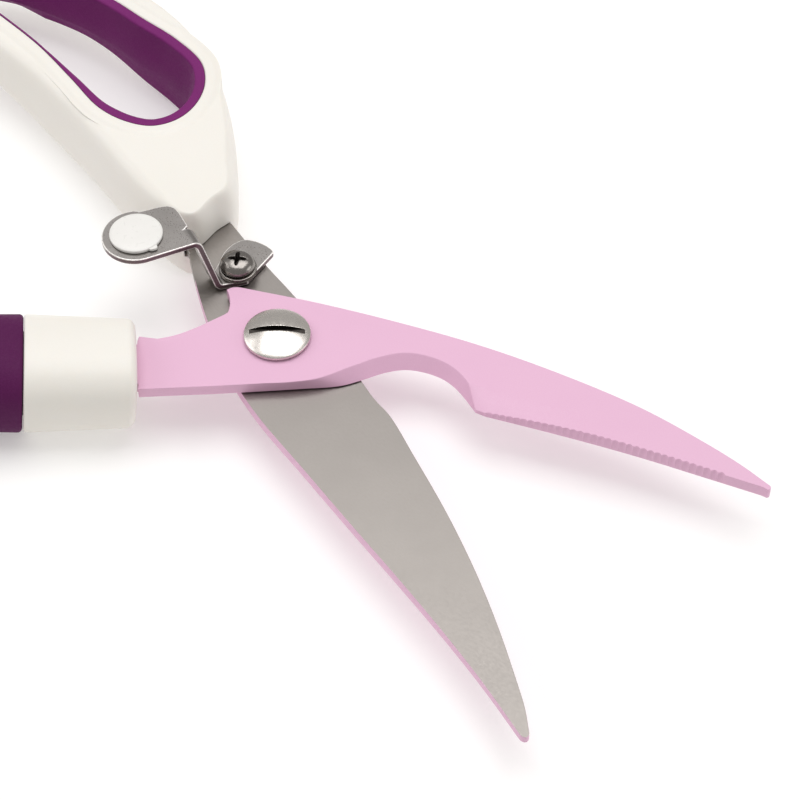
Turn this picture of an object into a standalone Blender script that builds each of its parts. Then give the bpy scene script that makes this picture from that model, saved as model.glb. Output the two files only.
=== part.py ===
"""Locking kitchen and poultry shears with a finger loop, a lever grip and a swivel latch.

All sizes below are in millimetres and are turned into metres when a mesh is made.
Each half is drawn closed, in its own frame: the pivot is the origin, the tip lies on +X,
the back of the blade of the upper half and the outer side of the finger loop lie on +Y.
z is measured from the shear plane, the inner face of the lower blade.
The two halves are then turned apart about the pivot by their parent empties.
The object's origin is the centre of the flat underside of the pivot nut.
"""
import math

import bmesh
import bpy
from mathutils import Matrix

MM = 0.001

# Driving dimensions
OPEN_ANGLE = 40.5          # degrees between the two tips, as modelled
GAP = 0.3                  # clearance between neighbouring pieces
BLADE_THICKNESS = 2.5
TIP_THICKNESS = 1.7        # the lower blade thins towards its tip
TAPER_START = 62.0
UPPER_LENGTH = 101.9       # pivot to tip
LOWER_LENGTH = 102.9
HANDLE_HEIGHT = 19.0       # both handles, centred on the shear plane

# Pivot
PIVOT_HEAD_RADIUS = 6.7
PIVOT_HEAD_RIM = 0.8
PIVOT_HEAD_DOME = 1.5
PIVOT_SLOT_WIDTH = 1.3
PIVOT_SLOT_DEPTH = 1.1       # below the top of the dome
PIVOT_SHANK_RADIUS = 2.3
NUT_FLANGE_RADIUS = 6.0
NUT_FLANGE_HEIGHT = 1.5
NUT_BARREL_RADIUS = 3.7
NUT_FLOOR = 1.1            # solid bottom under the blind bore

# Upper blade
NOTCH_START = 15.9
NOTCH_CORNER = (42.9, -1.4)
SERRATION_START = 45.0
SERRATION_END = 93.0
SERRATION_COUNT = 34
SERRATION_DEPTH = 0.6
LOWER_BEVEL = 3.0          # width of the grind on the outer face of the lower blade

# Lever (upper half): a straight ferrule, then a soft sleeve on a core
LEVER_START = (-23.1, -17.4)
LEVER_HEADING = 202.6      # degrees
FERRULE_LENGTH = 22.1
FERRULE_WIDTH = 24.2
FERRULE_TAPER = 0.92       # size of its front against its rear
FERRULE_ROUNDING = 1.8
SKEW_SIDEWAYS = 0.10       # the ferrule's ends lean: mm along the lever for each mm across
SKEW_UPWARDS = 0.13
SECTION_POWER = 2.5
SLEEVE_WALL = 3.2
SLEEVE_PROUD = 0.1
LEVER_LENGTH = 127.0
CORE_TAIL = 23.0           # the sleeve's solid end, behind the core
LEVER_TANG_WIDTH = 10.4
LEVER_TANG_LENGTH = 50.0

# Loop handle (lower half)
LOOP_THIN_START = -78.0
LOOP_THIN_LENGTH = 34.0
LOOP_THIN_SHARE = 0.6      # how much of the lower half's height the rear of the loop loses
RIM_HEIGHT = 0.4           # the lip around the finger hole stands this proud
RIM_WIDTH = 2.7
LINER_WALL = 2.2
LINER_BULGE = 1.0
LINER_RECESS = 0.2
LOOP_TANG_WIDTH = 11.0
LOOP_TANG_END = -53.0

# Latch
LATCH_CENTRE = (-21.2, 0.95)
FINGER_REACH = 9.0         # the locking finger's end, from the latch's centre
LATCH_THICKNESS = 1.3
STRIP_BASE = -3.2          # y of the lower bend
STRIP_SHIFT = 4.4          # how far the strip leans towards the handle as it rises
LATCH_TAB_CLEARANCE = 0.6  # underside of the tab above the handles
LATCH_STRIP_WIDTH = 4.7
LATCH_STRIP_LEAN = 78.0    # degrees from the plate
LATCH_BEND_RADIUS = 1.3
LATCH_HOLE_RADIUS = 2.1
LATCH_SCREW_RADIUS = 1.8
LATCH_HEAD_RADIUS = 3.6
LATCH_HEAD_HEIGHT = 2.3
WASHER_RADIUS = 3.9
WASHER_THICKNESS = 0.8
BUTTON_CENTRE = (-30.7, -16.7)
BUTTON_RADIUS = 5.4
BUTTON_HEIGHT = 0.9
BUTTON_STEM_RADIUS = 2.0
TAB_RADIUS = 7.0

# Values that follow from the ones above
LOWER_BOTTOM = NUT_FLANGE_HEIGHT + GAP
SHEAR_Z = LOWER_BOTTOM + BLADE_THICKNESS
UPPER_BOTTOM = GAP
UPPER_TOP = UPPER_BOTTOM + BLADE_THICKNESS
HALF_HEIGHT = HANDLE_HEIGHT / 2.0
BODY_HALF_HEIGHT = HALF_HEIGHT - RIM_HEIGHT
HOLE_RADIUS = NUT_BARREL_RADIUS + GAP
CORE_LENGTH = LEVER_LENGTH - CORE_TAIL
LATCH_TOP = GAP + LATCH_THICKNESS
TAB_BOTTOM = HALF_HEIGHT + LATCH_TAB_CLEARANCE
TAB_TOP = TAB_BOTTOM + LATCH_THICKNESS

PARTS = "locking_poultry_shears"
CUTTERS = "cutters"


# ---------------------------------------------------------------- scene and materials

def clear_scene():
    for obj in list(bpy.data.objects):
        bpy.data.objects.remove(obj, do_unlink=True)


def new_collection(name):
    collection = bpy.data.collections.new(name)
    bpy.context.scene.collection.children.link(collection)
    return collection


def material(name, colour, roughness, metallic):
    mat = bpy.data.materials.new(name)
    mat.use_nodes = True
    shader = mat.node_tree.nodes["Principled BSDF"]
    shader.inputs["Base Color"].default_value = (*colour, 1.0)
    shader.inputs["Roughness"].default_value = roughness
    shader.inputs["Metallic"].default_value = metallic
    mat.diffuse_color = (*colour, 1.0)
    return mat


def make_frame(name, parent=None, location=(0.0, 0.0, 0.0), turn=0.0):
    """An empty that carries a half or the latch; location in mm, turn in degrees about +Z."""
    frame = bpy.data.objects.new(name, None)
    frame.location = [value * MM for value in location]
    frame.rotation_euler.z = math.radians(turn)
    frame.parent = parent
    bpy.data.collections[PARTS].objects.link(frame)
    return frame


def add_object(name, bm, frame, mat=None, at=(0.0, 0.0, 0.0)):
    """A mesh drawn in mm in its frame; without a material it is a cutter.

    The object's origin is put at the point `at` of the frame.
    """
    bmesh.ops.translate(bm, verts=bm.verts, vec=[-value for value in at])
    bmesh.ops.scale(bm, verts=bm.verts, vec=(MM, MM, MM))
    mesh = bpy.data.meshes.new(name)
    bm.to_mesh(mesh)
    bm.free()
    obj = bpy.data.objects.new(name, mesh)
    obj.parent = frame
    obj.location = [value * MM for value in at]
    if mat is None:
        bpy.data.collections[CUTTERS].objects.link(obj)
        obj.hide_render = True
        obj.display_type = "WIRE"
        return obj
    bpy.data.collections[PARTS].objects.link(obj)
    mesh.materials.append(mat)
    mesh.shade_smooth()
    mesh.set_sharp_from_angle(angle=math.radians(32.0))
    return obj


def boolean(obj, other, operation):
    modifier = obj.modifiers.new(operation.lower() + "_" + other.name, "BOOLEAN")
    modifier.operation = operation
    modifier.solver = "EXACT"
    modifier.object = other


# ---------------------------------------------------------------- curves and solids

def smooth_line(points, steps, closed=False):
    """A centripetal Catmull-Rom curve through the points, `steps` samples a span."""
    count = len(points)
    if closed:
        ring = [points[-1], *points, points[0], points[1]]
        spans = count
    else:
        first = [2 * points[0][i] - points[1][i] for i in (0, 1)]
        last = [2 * points[-1][i] - points[-2][i] for i in (0, 1)]
        ring = [first, *points, last]
        spans = count - 1
    line = []
    for span in range(spans):
        line += span_points(ring[span:span + 4], steps)
    if not closed:
        line.append(tuple(points[-1]))
    return line


def span_points(corners, steps):
    """Samples of one Catmull-Rom span, from its second corner up to its third."""
    times = [0.0]
    for a, b in zip(corners, corners[1:]):
        times.append(times[-1] + math.dist(a, b) ** 0.5)
    samples = []
    for step in range(steps):
        t = times[1] + (times[2] - times[1]) * step / steps
        samples.append(blend(corners, times, t))
    return samples


def blend(points, times, t):
    """The pyramid of linear blends that defines a Catmull-Rom point."""
    level = list(points)
    for depth in (1, 2, 3):
        shorter = []
        for i in range(4 - depth):
            low, high = (1, 2) if depth == 3 else (i, i + depth)
            share = (t - times[low]) / (times[high] - times[low])
            shorter.append(mix(level[i], level[i + 1], share))
        level = shorter
    return level[0]


def mix(a, b, share):
    return tuple(p + (q - p) * share for p, q in zip(a, b))


def arc(centre, radius, start, end, steps):
    """Points on a circle from the start to the end angle, in degrees."""
    points = []
    for step in range(steps + 1):
        angle = math.radians(start + (end - start) * step / steps)
        points.append((centre[0] + radius * math.cos(angle), centre[1] + radius * math.sin(angle)))
    return points


def offset(outline, distances):
    """Moves each point of a counter-clockwise outline outwards by its own distance."""
    count = len(outline)
    moved = []
    for i, point in enumerate(outline):
        before = outline[i - 1]
        after = outline[(i + 1) % count]
        dx, dy = after[0] - before[0], after[1] - before[1]
        size = math.hypot(dx, dy)
        moved.append((point[0] + distances[i] * dy / size, point[1] - distances[i] * dx / size))
    return moved


def even_offset(outline, distance):
    return offset(outline, [distance] * len(outline))


def level_ring(outline, z):
    return [(x, y, z) for x, y in outline]


def bridge(bm, ring):
    """Caps a ring with strips across it, from its highest x down, so that a rise stays smooth."""
    front = max(range(len(ring)), key=lambda i: ring[i].co.x)
    order = ring[front:] + ring[:front]
    i, j = 0, len(order)
    while j - i > 1:
        a, b = order[i], order[j % len(order)]
        if order[i + 1].co.x > order[j - 1].co.x:
            i += 1
            corners = (a, order[i], b)
        else:
            j -= 1
            corners = (a, order[j], b)
        if len(set(corners)) == 3:
            bm.faces.new(corners)


def loft(rings, around=False, uneven=False):
    """A closed solid through rings of equal count: capped at both ends, or run around.

    The first cap is bridged across where its ring is uneven.
    """
    bm = bmesh.new()
    loops = [[bm.verts.new(point) for point in ring] for ring in rings]
    pairs = list(zip(loops, loops[1:]))
    if around:
        pairs.append((loops[-1], loops[0]))
    else:
        if uneven:
            bridge(bm, loops[0])
        else:
            bm.faces.new(reversed(loops[0]))
        bm.faces.new(loops[-1])
    for low, high in pairs:
        for i in range(len(low)):
            j = (i + 1) % len(low)
            bm.faces.new((low[i], low[j], high[j], high[i]))
    bmesh.ops.triangulate(bm, faces=[face for face in bm.faces if len(face.verts) > 4])
    bmesh.ops.recalc_face_normals(bm, faces=bm.faces)
    return bm


def prism(outline, low, high):
    return loft([level_ring(outline, low), level_ring(outline, high)])


def cylinder(centre, radius, low, high, segments=40):
    bm = bmesh.new()
    bmesh.ops.create_cone(
        bm, cap_ends=True, segments=segments, radius1=radius, radius2=radius, depth=high - low,
        matrix=Matrix.Translation((centre[0], centre[1], (low + high) / 2.0)))
    return bm


def box(centre, size, turn=0.0):
    """A box turned by `turn` degrees about +Z through its centre."""
    bm = bmesh.new()
    place = Matrix.Translation(centre) @ Matrix.Rotation(math.radians(turn), 4, "Z")
    bmesh.ops.create_cube(bm, size=1.0, matrix=place @ Matrix.Diagonal((*size, 1.0)))
    return bm


def turned(name, profile, centre, frame, mat, steps=32):
    """A profile of (radius, z) points, from the top of the axis down to its bottom, spun."""
    bm = bmesh.new()
    verts = [bm.verts.new((radius, 0.0, z)) for radius, z in profile]
    for a, b in zip(verts, verts[1:]):
        bm.edges.new((a, b))
    bmesh.ops.scale(bm, verts=bm.verts, vec=(MM, MM, MM))
    mesh = bpy.data.meshes.new(name)
    bm.to_mesh(mesh)
    bm.free()
    mesh.materials.append(mat)
    obj = bpy.data.objects.new(name, mesh)
    obj.parent = frame
    obj.location = (centre[0] * MM, centre[1] * MM, 0.0)
    bpy.data.collections[PARTS].objects.link(obj)
    spin = obj.modifiers.new("spin", "SCREW")
    spin.steps = steps
    spin.render_steps = steps
    spin.use_merge_vertices = True
    spin.merge_threshold = 0.00001
    spin.use_smooth_shade = True
    return obj


# ---------------------------------------------------------------- upper half

def lever_point(along, across):
    """A point of the straight front of the lever, measured from the ferrule's front face."""
    heading = math.radians(LEVER_HEADING)
    x = LEVER_START[0] + along * math.cos(heading) + across * math.sin(heading)
    y = LEVER_START[1] + along * math.sin(heading) - across * math.cos(heading)
    return (x, y)


def upper_back():
    """From the tip along the back of the blade to the hook that the latch holds."""
    back = smooth_line([
        (UPPER_LENGTH - 0.9, 1.6), (94.7, 4.2), (85.9, 7.0), (72.6, 10.3), (55.2, 12.5),
        (38.1, 13.4), (21.1, 12.9), (4.2, 11.6), (-11.3, 9.6)], 4)
    bump = [(-13.0, 9.3), (-14.1, 8.7), (-14.7, 8.0)]
    hook = arc(LATCH_CENTRE, FINGER_REACH + GAP + 0.05, 45.0, 8.0, 6)
    return back + bump + hook


def upper_tang():
    """The tang: a shoulder at the ferrule and a narrower strip inside the lever."""
    half = LEVER_TANG_WIDTH / 2.0
    return [
        (-12.6, 0.9), (-13.5, -0.3), (-16.0, -3.9), (-18.8, -7.2), (-21.8, -9.6),
        lever_point(-0.4, 6.6),
        lever_point(-0.4, half), lever_point(LEVER_TANG_LENGTH, half),
        lever_point(LEVER_TANG_LENGTH, -half), lever_point(-1.5, -half), lever_point(-1.5, -6.6)]


def notch_lines():
    """The bone notch: its line on the inner face and, set back by the grind, on the top."""
    inner = [(-6.3, -16.7), (2.0, -12.5), (9.0, -8.9), (NOTCH_START, -5.2), (19.3, -2.1),
             (22.9, 1.5), (26.2, 3.6), (30.2, 4.4), (34.0, 4.1), (37.0, 2.9), (39.6, 1.2),
             (41.4, -0.2), NOTCH_CORNER]
    top = [(-6.3, -16.7), (2.0, -12.5), (7.3, -9.9), (NOTCH_START - 3.8, -6.7), (16.3, -2.0),
           (20.9, 2.9), (25.2, 5.9), (30.2, 6.8), (34.2, 6.3), (37.4, 4.9), (39.7, 3.2)]
    facet = [mix(top[-1], (NOTCH_CORNER[0], NOTCH_CORNER[1] + 0.15), i / 6.0) for i in range(1, 7)]
    return smooth_line(inner, 3), smooth_line(top, 3) + facet


def cutting_edge():
    """The edge line ahead of the notch, and the same line scalloped along the top."""
    inner = [(44.2, -1.5)]
    top = [(44.2, -1.3)]
    pitch = (SERRATION_END - SERRATION_START) / SERRATION_COUNT
    for tooth in range(SERRATION_COUNT):
        for phase, depth in ((0.0, 0.0), (0.3, 1.0), (0.75, 0.6)):
            x = SERRATION_START + pitch * (tooth + phase)
            inner.append((x, edge_height(x)))
            top.append((x, edge_height(x) + 0.2 + SERRATION_DEPTH * depth))
    for x in (SERRATION_END, UPPER_LENGTH - 5.0, UPPER_LENGTH - 1.6):
        inner.append((x, edge_height(x)))
        top.append((x, edge_height(x) + 0.2))
    return inner, top


def edge_height(x):
    """y of the upper cutting edge: a shallow rise from the notch to the tip."""
    share = (x - SERRATION_START) / (UPPER_LENGTH - SERRATION_START)
    return -1.6 + 1.9 * math.sin(min(share * 1.5, 1.0) * math.pi / 2.0)


def make_upper_blade(frame, mat):
    tip = arc((UPPER_LENGTH - 0.9, 0.7), 0.9, -60.0, 60.0, 3)
    back = upper_back()
    tang = upper_tang()
    notch_inner, notch_top = notch_lines()
    edge_inner, edge_top = cutting_edge()
    inner = tip + back + tang + notch_inner + edge_inner
    top = tip + back + tang + notch_top + edge_top
    bm = loft([level_ring(inner, UPPER_BOTTOM), level_ring(top, UPPER_TOP)])
    blade = add_object("upper_blade", bm, frame, mat)
    bore = cylinder((0.0, 0.0), HOLE_RADIUS, -1.0, UPPER_TOP + 1.0)
    boolean(blade, add_object("upper_bore", bore, frame), "DIFFERENCE")
    anchor = cylinder(lever_point(LEVER_TANG_LENGTH - 8.0, 0.0), 2.5, -1.0, UPPER_TOP + 1.0, 24)
    boolean(blade, add_object("upper_anchor", anchor, frame), "DIFFERENCE")
    return blade


def lever_axis():
    """The lever's centre line: straight through the ferrule, then a gentle bow and a flick."""
    route = [lever_point(0.0, 0.0), lever_point(FERRULE_LENGTH, 0.0), lever_point(46.0, 0.3),
             (-87.0, -43.4), (-108.0, -49.4), (-127.0, -52.4), (-146.0, -53.4)]
    return smooth_line(route, 16)


def axis_frame(axis, along):
    """Centre and sideways direction of the lever's section at a length along its axis."""
    travelled = 0.0
    for a, b in zip(axis, axis[1:]):
        step = math.dist(a, b)
        if travelled + step >= along or b == axis[-1]:
            centre = mix(a, b, (along - travelled) / step)
            return centre, ((a[1] - b[1]) / step, (b[0] - a[0]) / step)
        travelled += step


def section_size(along):
    """Full width and height of the lever: a ferrule, a palm swell and a tail."""
    share = max(0.0, along - FERRULE_LENGTH) / (LEVER_LENGTH - FERRULE_LENGTH)
    width = FERRULE_WIDTH - 2.2 * math.sin(share * math.pi) ** 2 - 1.5 * share
    height = HANDLE_HEIGHT - 2.0 * SLEEVE_PROUD - 2.0 * share ** 2
    taper = mix((FERRULE_TAPER,), (1.0,), min(along / FERRULE_LENGTH, 1.0))[0]
    return width * taper, height * taper


def section_ring(axis, along, inset, count=28):
    """A superellipse section of the lever, `inset` inside its outer surface."""
    centre, side = axis_frame(axis, along)
    width, height = section_size(along)
    ring = []
    for i in range(count):
        angle = 2.0 * math.pi * i / count
        u = power_of(math.cos(angle)) * (width / 2.0 - inset)
        v = power_of(math.sin(angle)) * (height / 2.0 - inset)
        lean = SKEW_SIDEWAYS * u - SKEW_UPWARDS * v
        x = centre[0] - side[0] * u + side[1] * lean
        ring.append((x, centre[1] - side[1] * u - side[0] * lean, v))
    return ring


def power_of(value):
    return math.copysign(abs(value) ** (2.0 / SECTION_POWER), value)


def rounded(radius, steps):
    """(distance from the end, inset) pairs of a quarter-round edge."""
    pairs = []
    for step in range(steps + 1):
        angle = math.pi / 2.0 * step / steps
        pairs.append((radius * (1.0 - math.sin(angle)), radius * (1.0 - math.cos(angle))))
    return pairs


def make_lever_core(axis, frame, mat):
    """White core: the ferrule in front, and a neck that carries the soft sleeve."""
    rings = [section_ring(axis, s, inset) for s, inset in reversed(rounded(FERRULE_ROUNDING, 4))]
    for s, inset in rounded(0.8, 2):
        rings.append(section_ring(axis, FERRULE_LENGTH - s, inset))
    for s in neck_stations(FERRULE_LENGTH, CORE_LENGTH):
        rings.append(section_ring(axis, s, SLEEVE_WALL))
    core = add_object("lever_core", loft(rings), frame, mat)
    clear = 2.0 * GAP
    reach = LEVER_TANG_LENGTH + GAP
    middle = lever_point(reach / 2.0 - 1.5, 0.0)
    size = (reach + 3.0, LEVER_TANG_WIDTH + clear, BLADE_THICKNESS + clear)
    centre = (*middle, UPPER_BOTTOM + BLADE_THICKNESS / 2.0)
    pocket = box(centre, size, LEVER_HEADING)
    boolean(core, add_object("lever_pocket", pocket, frame), "DIFFERENCE")
    return core


def neck_stations(start, end, spacing=11.0):
    count = max(2, round((end - start) / spacing))
    return [start + (end - start) * i / count for i in range(count + 1)]


def make_lever_sleeve(axis, frame, mat):
    """Purple sleeve: a blind soft tube from behind the ferrule to the tail."""
    front = FERRULE_LENGTH + GAP
    hollow_end = CORE_LENGTH + GAP
    rings = []
    for s in reversed(neck_stations(front, hollow_end)):
        rings.append(section_ring(axis, s, SLEEVE_WALL - GAP))
    for s, inset in reversed(rounded(0.9, 2)):
        rings.append(section_ring(axis, front + s, inset - SLEEVE_PROUD))
    tail = 8.5
    for s in neck_stations(front + 6.0, LEVER_LENGTH - tail, 9.0):
        rings.append(section_ring(axis, s, -SLEEVE_PROUD))
    for s, inset in rounded(tail, 5)[1:]:
        rings.append(section_ring(axis, LEVER_LENGTH - s, inset * 0.93 - SLEEVE_PROUD))
    return add_object("lever_sleeve", loft(rings), frame, mat)


# ---------------------------------------------------------------- lower half

def lower_edge():
    """The cutting edge from the tip back to the handle, along the outer side."""
    return smooth_line([
        (LOWER_LENGTH - 0.6, 0.9), (97.5, 2.7), (91.6, 4.2), (79.5, 6.9), (66.4, 9.1), (52.5, 10.6),
        (37.6, 11.4), (26.5, 11.8), (20.9, 11.0), (4.0, 10.6), (-12.3, 8.6), (-22.0, 7.2),
        (-35.6, 5.9)], 4)


def lower_spine():
    """The back of the lower blade from the handle to the tip."""
    return smooth_line([
        (-31.4, -5.6), (-22.7, -7.8), (-12.6, -9.8), (2.0, -11.6), (14.2, -11.3), (31.0, -9.0),
        (47.4, -6.7), (63.0, -4.4), (78.1, -2.5), (90.0, -1.4), (LOWER_LENGTH - 1.2, -0.8)], 4)


def bevel_width(x):
    """How far the grind sets the outer face back: none at the tang, less at the tip."""
    rise = min(max((x - 22.0) / 8.0, 0.0), 1.0)
    fall = min(max((LOWER_LENGTH - 1.0 - x) / 45.0, 0.0), 1.0)
    return LOWER_BEVEL * rise * fall ** 0.8


def tip_taper():
    """A wedge that thins the outer face of the lower blade towards its tip."""
    reach = LOWER_LENGTH + 5.0
    fall = (BLADE_THICKNESS - TIP_THICKNESS) / (LOWER_LENGTH - TAPER_START)
    rise = (reach - TAPER_START) * fall
    side = [(TAPER_START, -BLADE_THICKNESS), (reach, rise - BLADE_THICKNESS),
            (reach, -BLADE_THICKNESS - 3.0), (TAPER_START, -BLADE_THICKNESS - 3.0)]
    return loft([[(x, y, z) for x, z in side] for y in (-20.0, 20.0)])


def make_lower_blade(frame, mat):
    half = LOOP_TANG_WIDTH / 2.0
    tang = [(-35.9, half), (LOOP_TANG_END, half), (LOOP_TANG_END, -half), (-31.4, -half + 0.2)]
    tip = [(LOWER_LENGTH - 0.3, -0.5), (LOWER_LENGTH, 0.2)]
    edge = lower_edge()
    spine = lower_spine()
    top = edge + tang + spine + tip
    outer = [(x, y - bevel_width(x)) for x, y in edge]
    bottom = outer + tang + spine + tip
    bm = loft([level_ring(bottom, -BLADE_THICKNESS), level_ring(top, 0.0)])
    blade = add_object("lower_blade", bm, frame, mat)
    low = -BLADE_THICKNESS - 1.0
    bore = cylinder((0.0, 0.0), HOLE_RADIUS, low, 1.0)
    boolean(blade, add_object("lower_bore", bore, frame), "DIFFERENCE")
    tapped = cylinder(LATCH_CENTRE, LATCH_HOLE_RADIUS, low, 1.0, 24)
    boolean(blade, add_object("latch_bore", tapped, frame), "DIFFERENCE")
    anchor = cylinder((LOOP_TANG_END + 7.0, 0.0), 2.5, low, 1.0, 24)
    boolean(blade, add_object("lower_anchor", anchor, frame), "DIFFERENCE")
    boolean(blade, add_object("tip_taper", tip_taper(), frame), "DIFFERENCE")
    return blade


def loop_outlines():
    """Plans of the loop handle at mid-height and, set in by the third values, at its top."""
    marks = [
        (-36.8, 7.2, 3.0), (-44.8, 11.6, 2.6), (-56.0, 16.0, 2.3), (-68.0, 19.1, 2.0),
        (-80.0, 20.3, 2.0), (-93.0, 19.0, 2.2), (-107.0, 14.4, 2.6), (-121.0, 7.2, 3.0),
        (-133.0, -2.2, 3.2), (-141.6, -12.5, 3.2), (-144.4, -22.2, 3.2), (-138.0, -29.2, 3.2),
        (-126.0, -29.6, 3.4), (-113.0, -26.0, 3.6), (-101.0, -21.9, 3.8), (-90.0, -18.6, 4.0),
        (-78.0, -15.9, 4.2), (-66.0, -13.9, 4.6), (-53.0, -12.2, 4.8), (-43.0, -10.4, 4.4),
        (-36.8, -8.0, 3.6), (-33.6, -5.7, 3.0), (-32.5, -2.8, 2.6), (-34.9, 2.2, 3.0)]
    outer = [(x, y) for x, y, _ in marks]
    inner = offset(outer, [-inset for _, _, inset in marks])
    return smooth_line(outer, 3, True), smooth_line(inner, 3, True)


def hole_outline():
    """Plan of the finger hole that the liner fills."""
    return smooth_line([
        (-60.5, 3.2), (-61.3, 7.2), (-64.0, 11.4), (-68.6, 15.0), (-75.0, 16.9), (-84.6, 15.0),
        (-93.9, 11.3), (-103.0, 7.8), (-112.0, 3.2), (-121.0, -2.8), (-129.6, -10.6),
        (-133.8, -18.0), (-130.0, -22.2), (-121.0, -20.4), (-109.5, -16.5), (-95.9, -12.5),
        (-83.0, -10.2), (-71.5, -8.3), (-65.3, -5.1), (-61.4, -0.9)], 3, True)


def raised(x, z):
    """The underside of the loop rises towards its rear, so the ring is thinner there."""
    share = min(max((LOOP_THIN_START - x) / LOOP_THIN_LENGTH, 0.0), 1.0)
    return z if z > 0.0 else z * (1.0 - LOOP_THIN_SHARE * share ** 2 * (3.0 - 2.0 * share))


def raised_ring(outline, z):
    return [(x, y, raised(x, z)) for x, y in outline]


def make_loop_body(frame, mat):
    outer, inner = loop_outlines()
    rings = []
    for share in (-1.0, -0.9, -0.62, 0.0, 0.62, 0.9, 1.0):
        depth = 1.0 - (1.0 - abs(share) ** 2.6) ** (1.0 / 2.2)
        ring = [mix(a, b, depth) for a, b in zip(outer, inner)]
        rings.append(raised_ring(ring, share * BODY_HALF_HEIGHT))
    body = add_object("loop_body", loft(rings, uneven=True), frame, mat)
    hole = hole_outline()
    lip = []
    for z, inset in ((-HALF_HEIGHT, 0.5), (0.6 - HALF_HEIGHT, 0.0), (HALF_HEIGHT - 0.6, 0.0),
                     (HALF_HEIGHT, 0.5)):
        lip.append(raised_ring(even_offset(hole, RIM_WIDTH - inset), z))
    boolean(body, add_object("loop_lip", loft(lip, uneven=True), frame), "UNION")
    cutter = prism(hole, -HALF_HEIGHT - 1.0, HALF_HEIGHT + 1.0)
    boolean(body, add_object("loop_hole", cutter, frame), "DIFFERENCE")
    clear = 2.0 * GAP
    reach = -20.0 - LOOP_TANG_END + GAP
    size = (reach, LOOP_TANG_WIDTH + clear, BLADE_THICKNESS + clear)
    centre = (-20.0 - reach / 2.0, 0.0, -BLADE_THICKNESS / 2.0)
    boolean(body, add_object("loop_pocket", box(centre, size), frame), "DIFFERENCE")
    return body


def make_loop_liner(frame, mat):
    """Purple liner: a soft ring in the hole whose inner face bulges towards the fingers."""
    hole = hole_outline()
    height = HALF_HEIGHT - LINER_RECESS
    inner = GAP + LINER_WALL
    stations = ((GAP, -height), (GAP, height), (inner - 0.7, height), (inner, height - 0.9),
                (inner + LINER_BULGE, 0.0), (inner, 0.9 - height), (inner - 0.7, -height))
    rings = [raised_ring(even_offset(hole, -inset), z) for inset, z in stations]
    return add_object("loop_liner", loft(rings, around=True), frame, mat)


# ---------------------------------------------------------------- pivot

def make_pivot_nut(frame, mat):
    """A blind barrel nut: its barrel is the axle that both blades turn on."""
    low = -SHEAR_Z
    flange = low + NUT_FLANGE_HEIGHT
    top = UPPER_TOP - GAP
    bore = PIVOT_SHANK_RADIUS + GAP
    profile = [
        (0.0, low + NUT_FLOOR), (bore, low + NUT_FLOOR), (bore, top), (NUT_BARREL_RADIUS, top),
        (NUT_BARREL_RADIUS, flange), (NUT_FLANGE_RADIUS - 0.3, flange),
        (NUT_FLANGE_RADIUS, flange - 0.3), (NUT_FLANGE_RADIUS, low + 0.3),
        (NUT_FLANGE_RADIUS - 0.3, low), (0.0, low)]
    return turned("pivot_nut", profile, (0.0, 0.0), frame, mat)


def make_pivot_screw(frame, mat):
    low = UPPER_TOP + GAP
    rim = low + PIVOT_HEAD_RIM
    profile = [(0.0, rim + PIVOT_HEAD_DOME)]
    for share in (0.35, 0.65, 0.85):
        profile.append((share * PIVOT_HEAD_RADIUS, rim + PIVOT_HEAD_DOME * (1.0 - share ** 2)))
    profile += [
        (PIVOT_HEAD_RADIUS - 0.2, rim), (PIVOT_HEAD_RADIUS, rim - 0.3), (PIVOT_HEAD_RADIUS, low),
        (PIVOT_SHANK_RADIUS, low), (PIVOT_SHANK_RADIUS, NUT_FLOOR + GAP - SHEAR_Z),
        (0.0, NUT_FLOOR + GAP - SHEAR_Z)]
    screw = turned("pivot_screw", profile, (0.0, 0.0), frame, mat)
    top = rim + PIVOT_HEAD_DOME
    size = (3.0 * PIVOT_HEAD_RADIUS, PIVOT_SLOT_WIDTH, 2.0 * PIVOT_SLOT_DEPTH)
    slot = box((0.0, 0.0, top), size, 63.1)
    boolean(screw, add_object("pivot_slot", slot, frame), "DIFFERENCE")
    return screw


# ---------------------------------------------------------------- latch

def latch_flat():
    """Lower flat of the latch, counter-clockwise from the strip: a lug with a finger."""
    finger = arc(LATCH_CENTRE, FINGER_REACH, 105.0, 143.0, 5)
    return [
        (-18.8, STRIP_BASE), (-17.8, 1.6), (-22.1, 8.8), (-22.7, 9.5), *finger,
        (-28.8, 5.0), (-28.5, 3.0), (-27.1, 0.4), (-25.0, -1.6),
        (-18.8 - LATCH_STRIP_WIDTH, STRIP_BASE)]


def strip_route():
    """(y, z, shift) of the strip's mid-surface from the flat to the tab; shift is along x."""
    low = GAP + LATCH_THICKNESS / 2.0
    high = TAB_BOTTOM + LATCH_THICKNESS / 2.0
    lean = math.radians(LATCH_STRIP_LEAN)
    radius = LATCH_BEND_RADIUS
    route = []
    for step in range(5):
        angle = lean * step / 4.0
        run = radius * math.sin(angle)
        route.append((STRIP_BASE - run, low + radius * (1.0 - math.cos(angle))))
    rise = high - low - 2.0 * radius * (1.0 - math.cos(lean))
    end = STRIP_BASE - 2.0 * radius * math.sin(lean) - rise / math.tan(lean)
    for step in range(5):
        angle = lean * (4 - step) / 4.0
        route.append((end + radius * math.sin(angle), high - radius * (1.0 - math.cos(angle))))
    return [(y, z, -STRIP_SHIFT * (z - low) / (high - low)) for y, z in route]


def latch_tab(near, far):
    """Upper tab, counter-clockwise from the far end of the bend to its near end."""
    paddle = arc(BUTTON_CENTRE, TAB_RADIUS, 160.0, 354.0, 18)
    edge = far[1] + 1.0
    corner = [(far[0] - 0.3, edge), (-33.2, edge), (-34.6, edge - 0.5), (-35.6, edge - 1.6)]
    return [far, *corner, *paddle, near]


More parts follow.
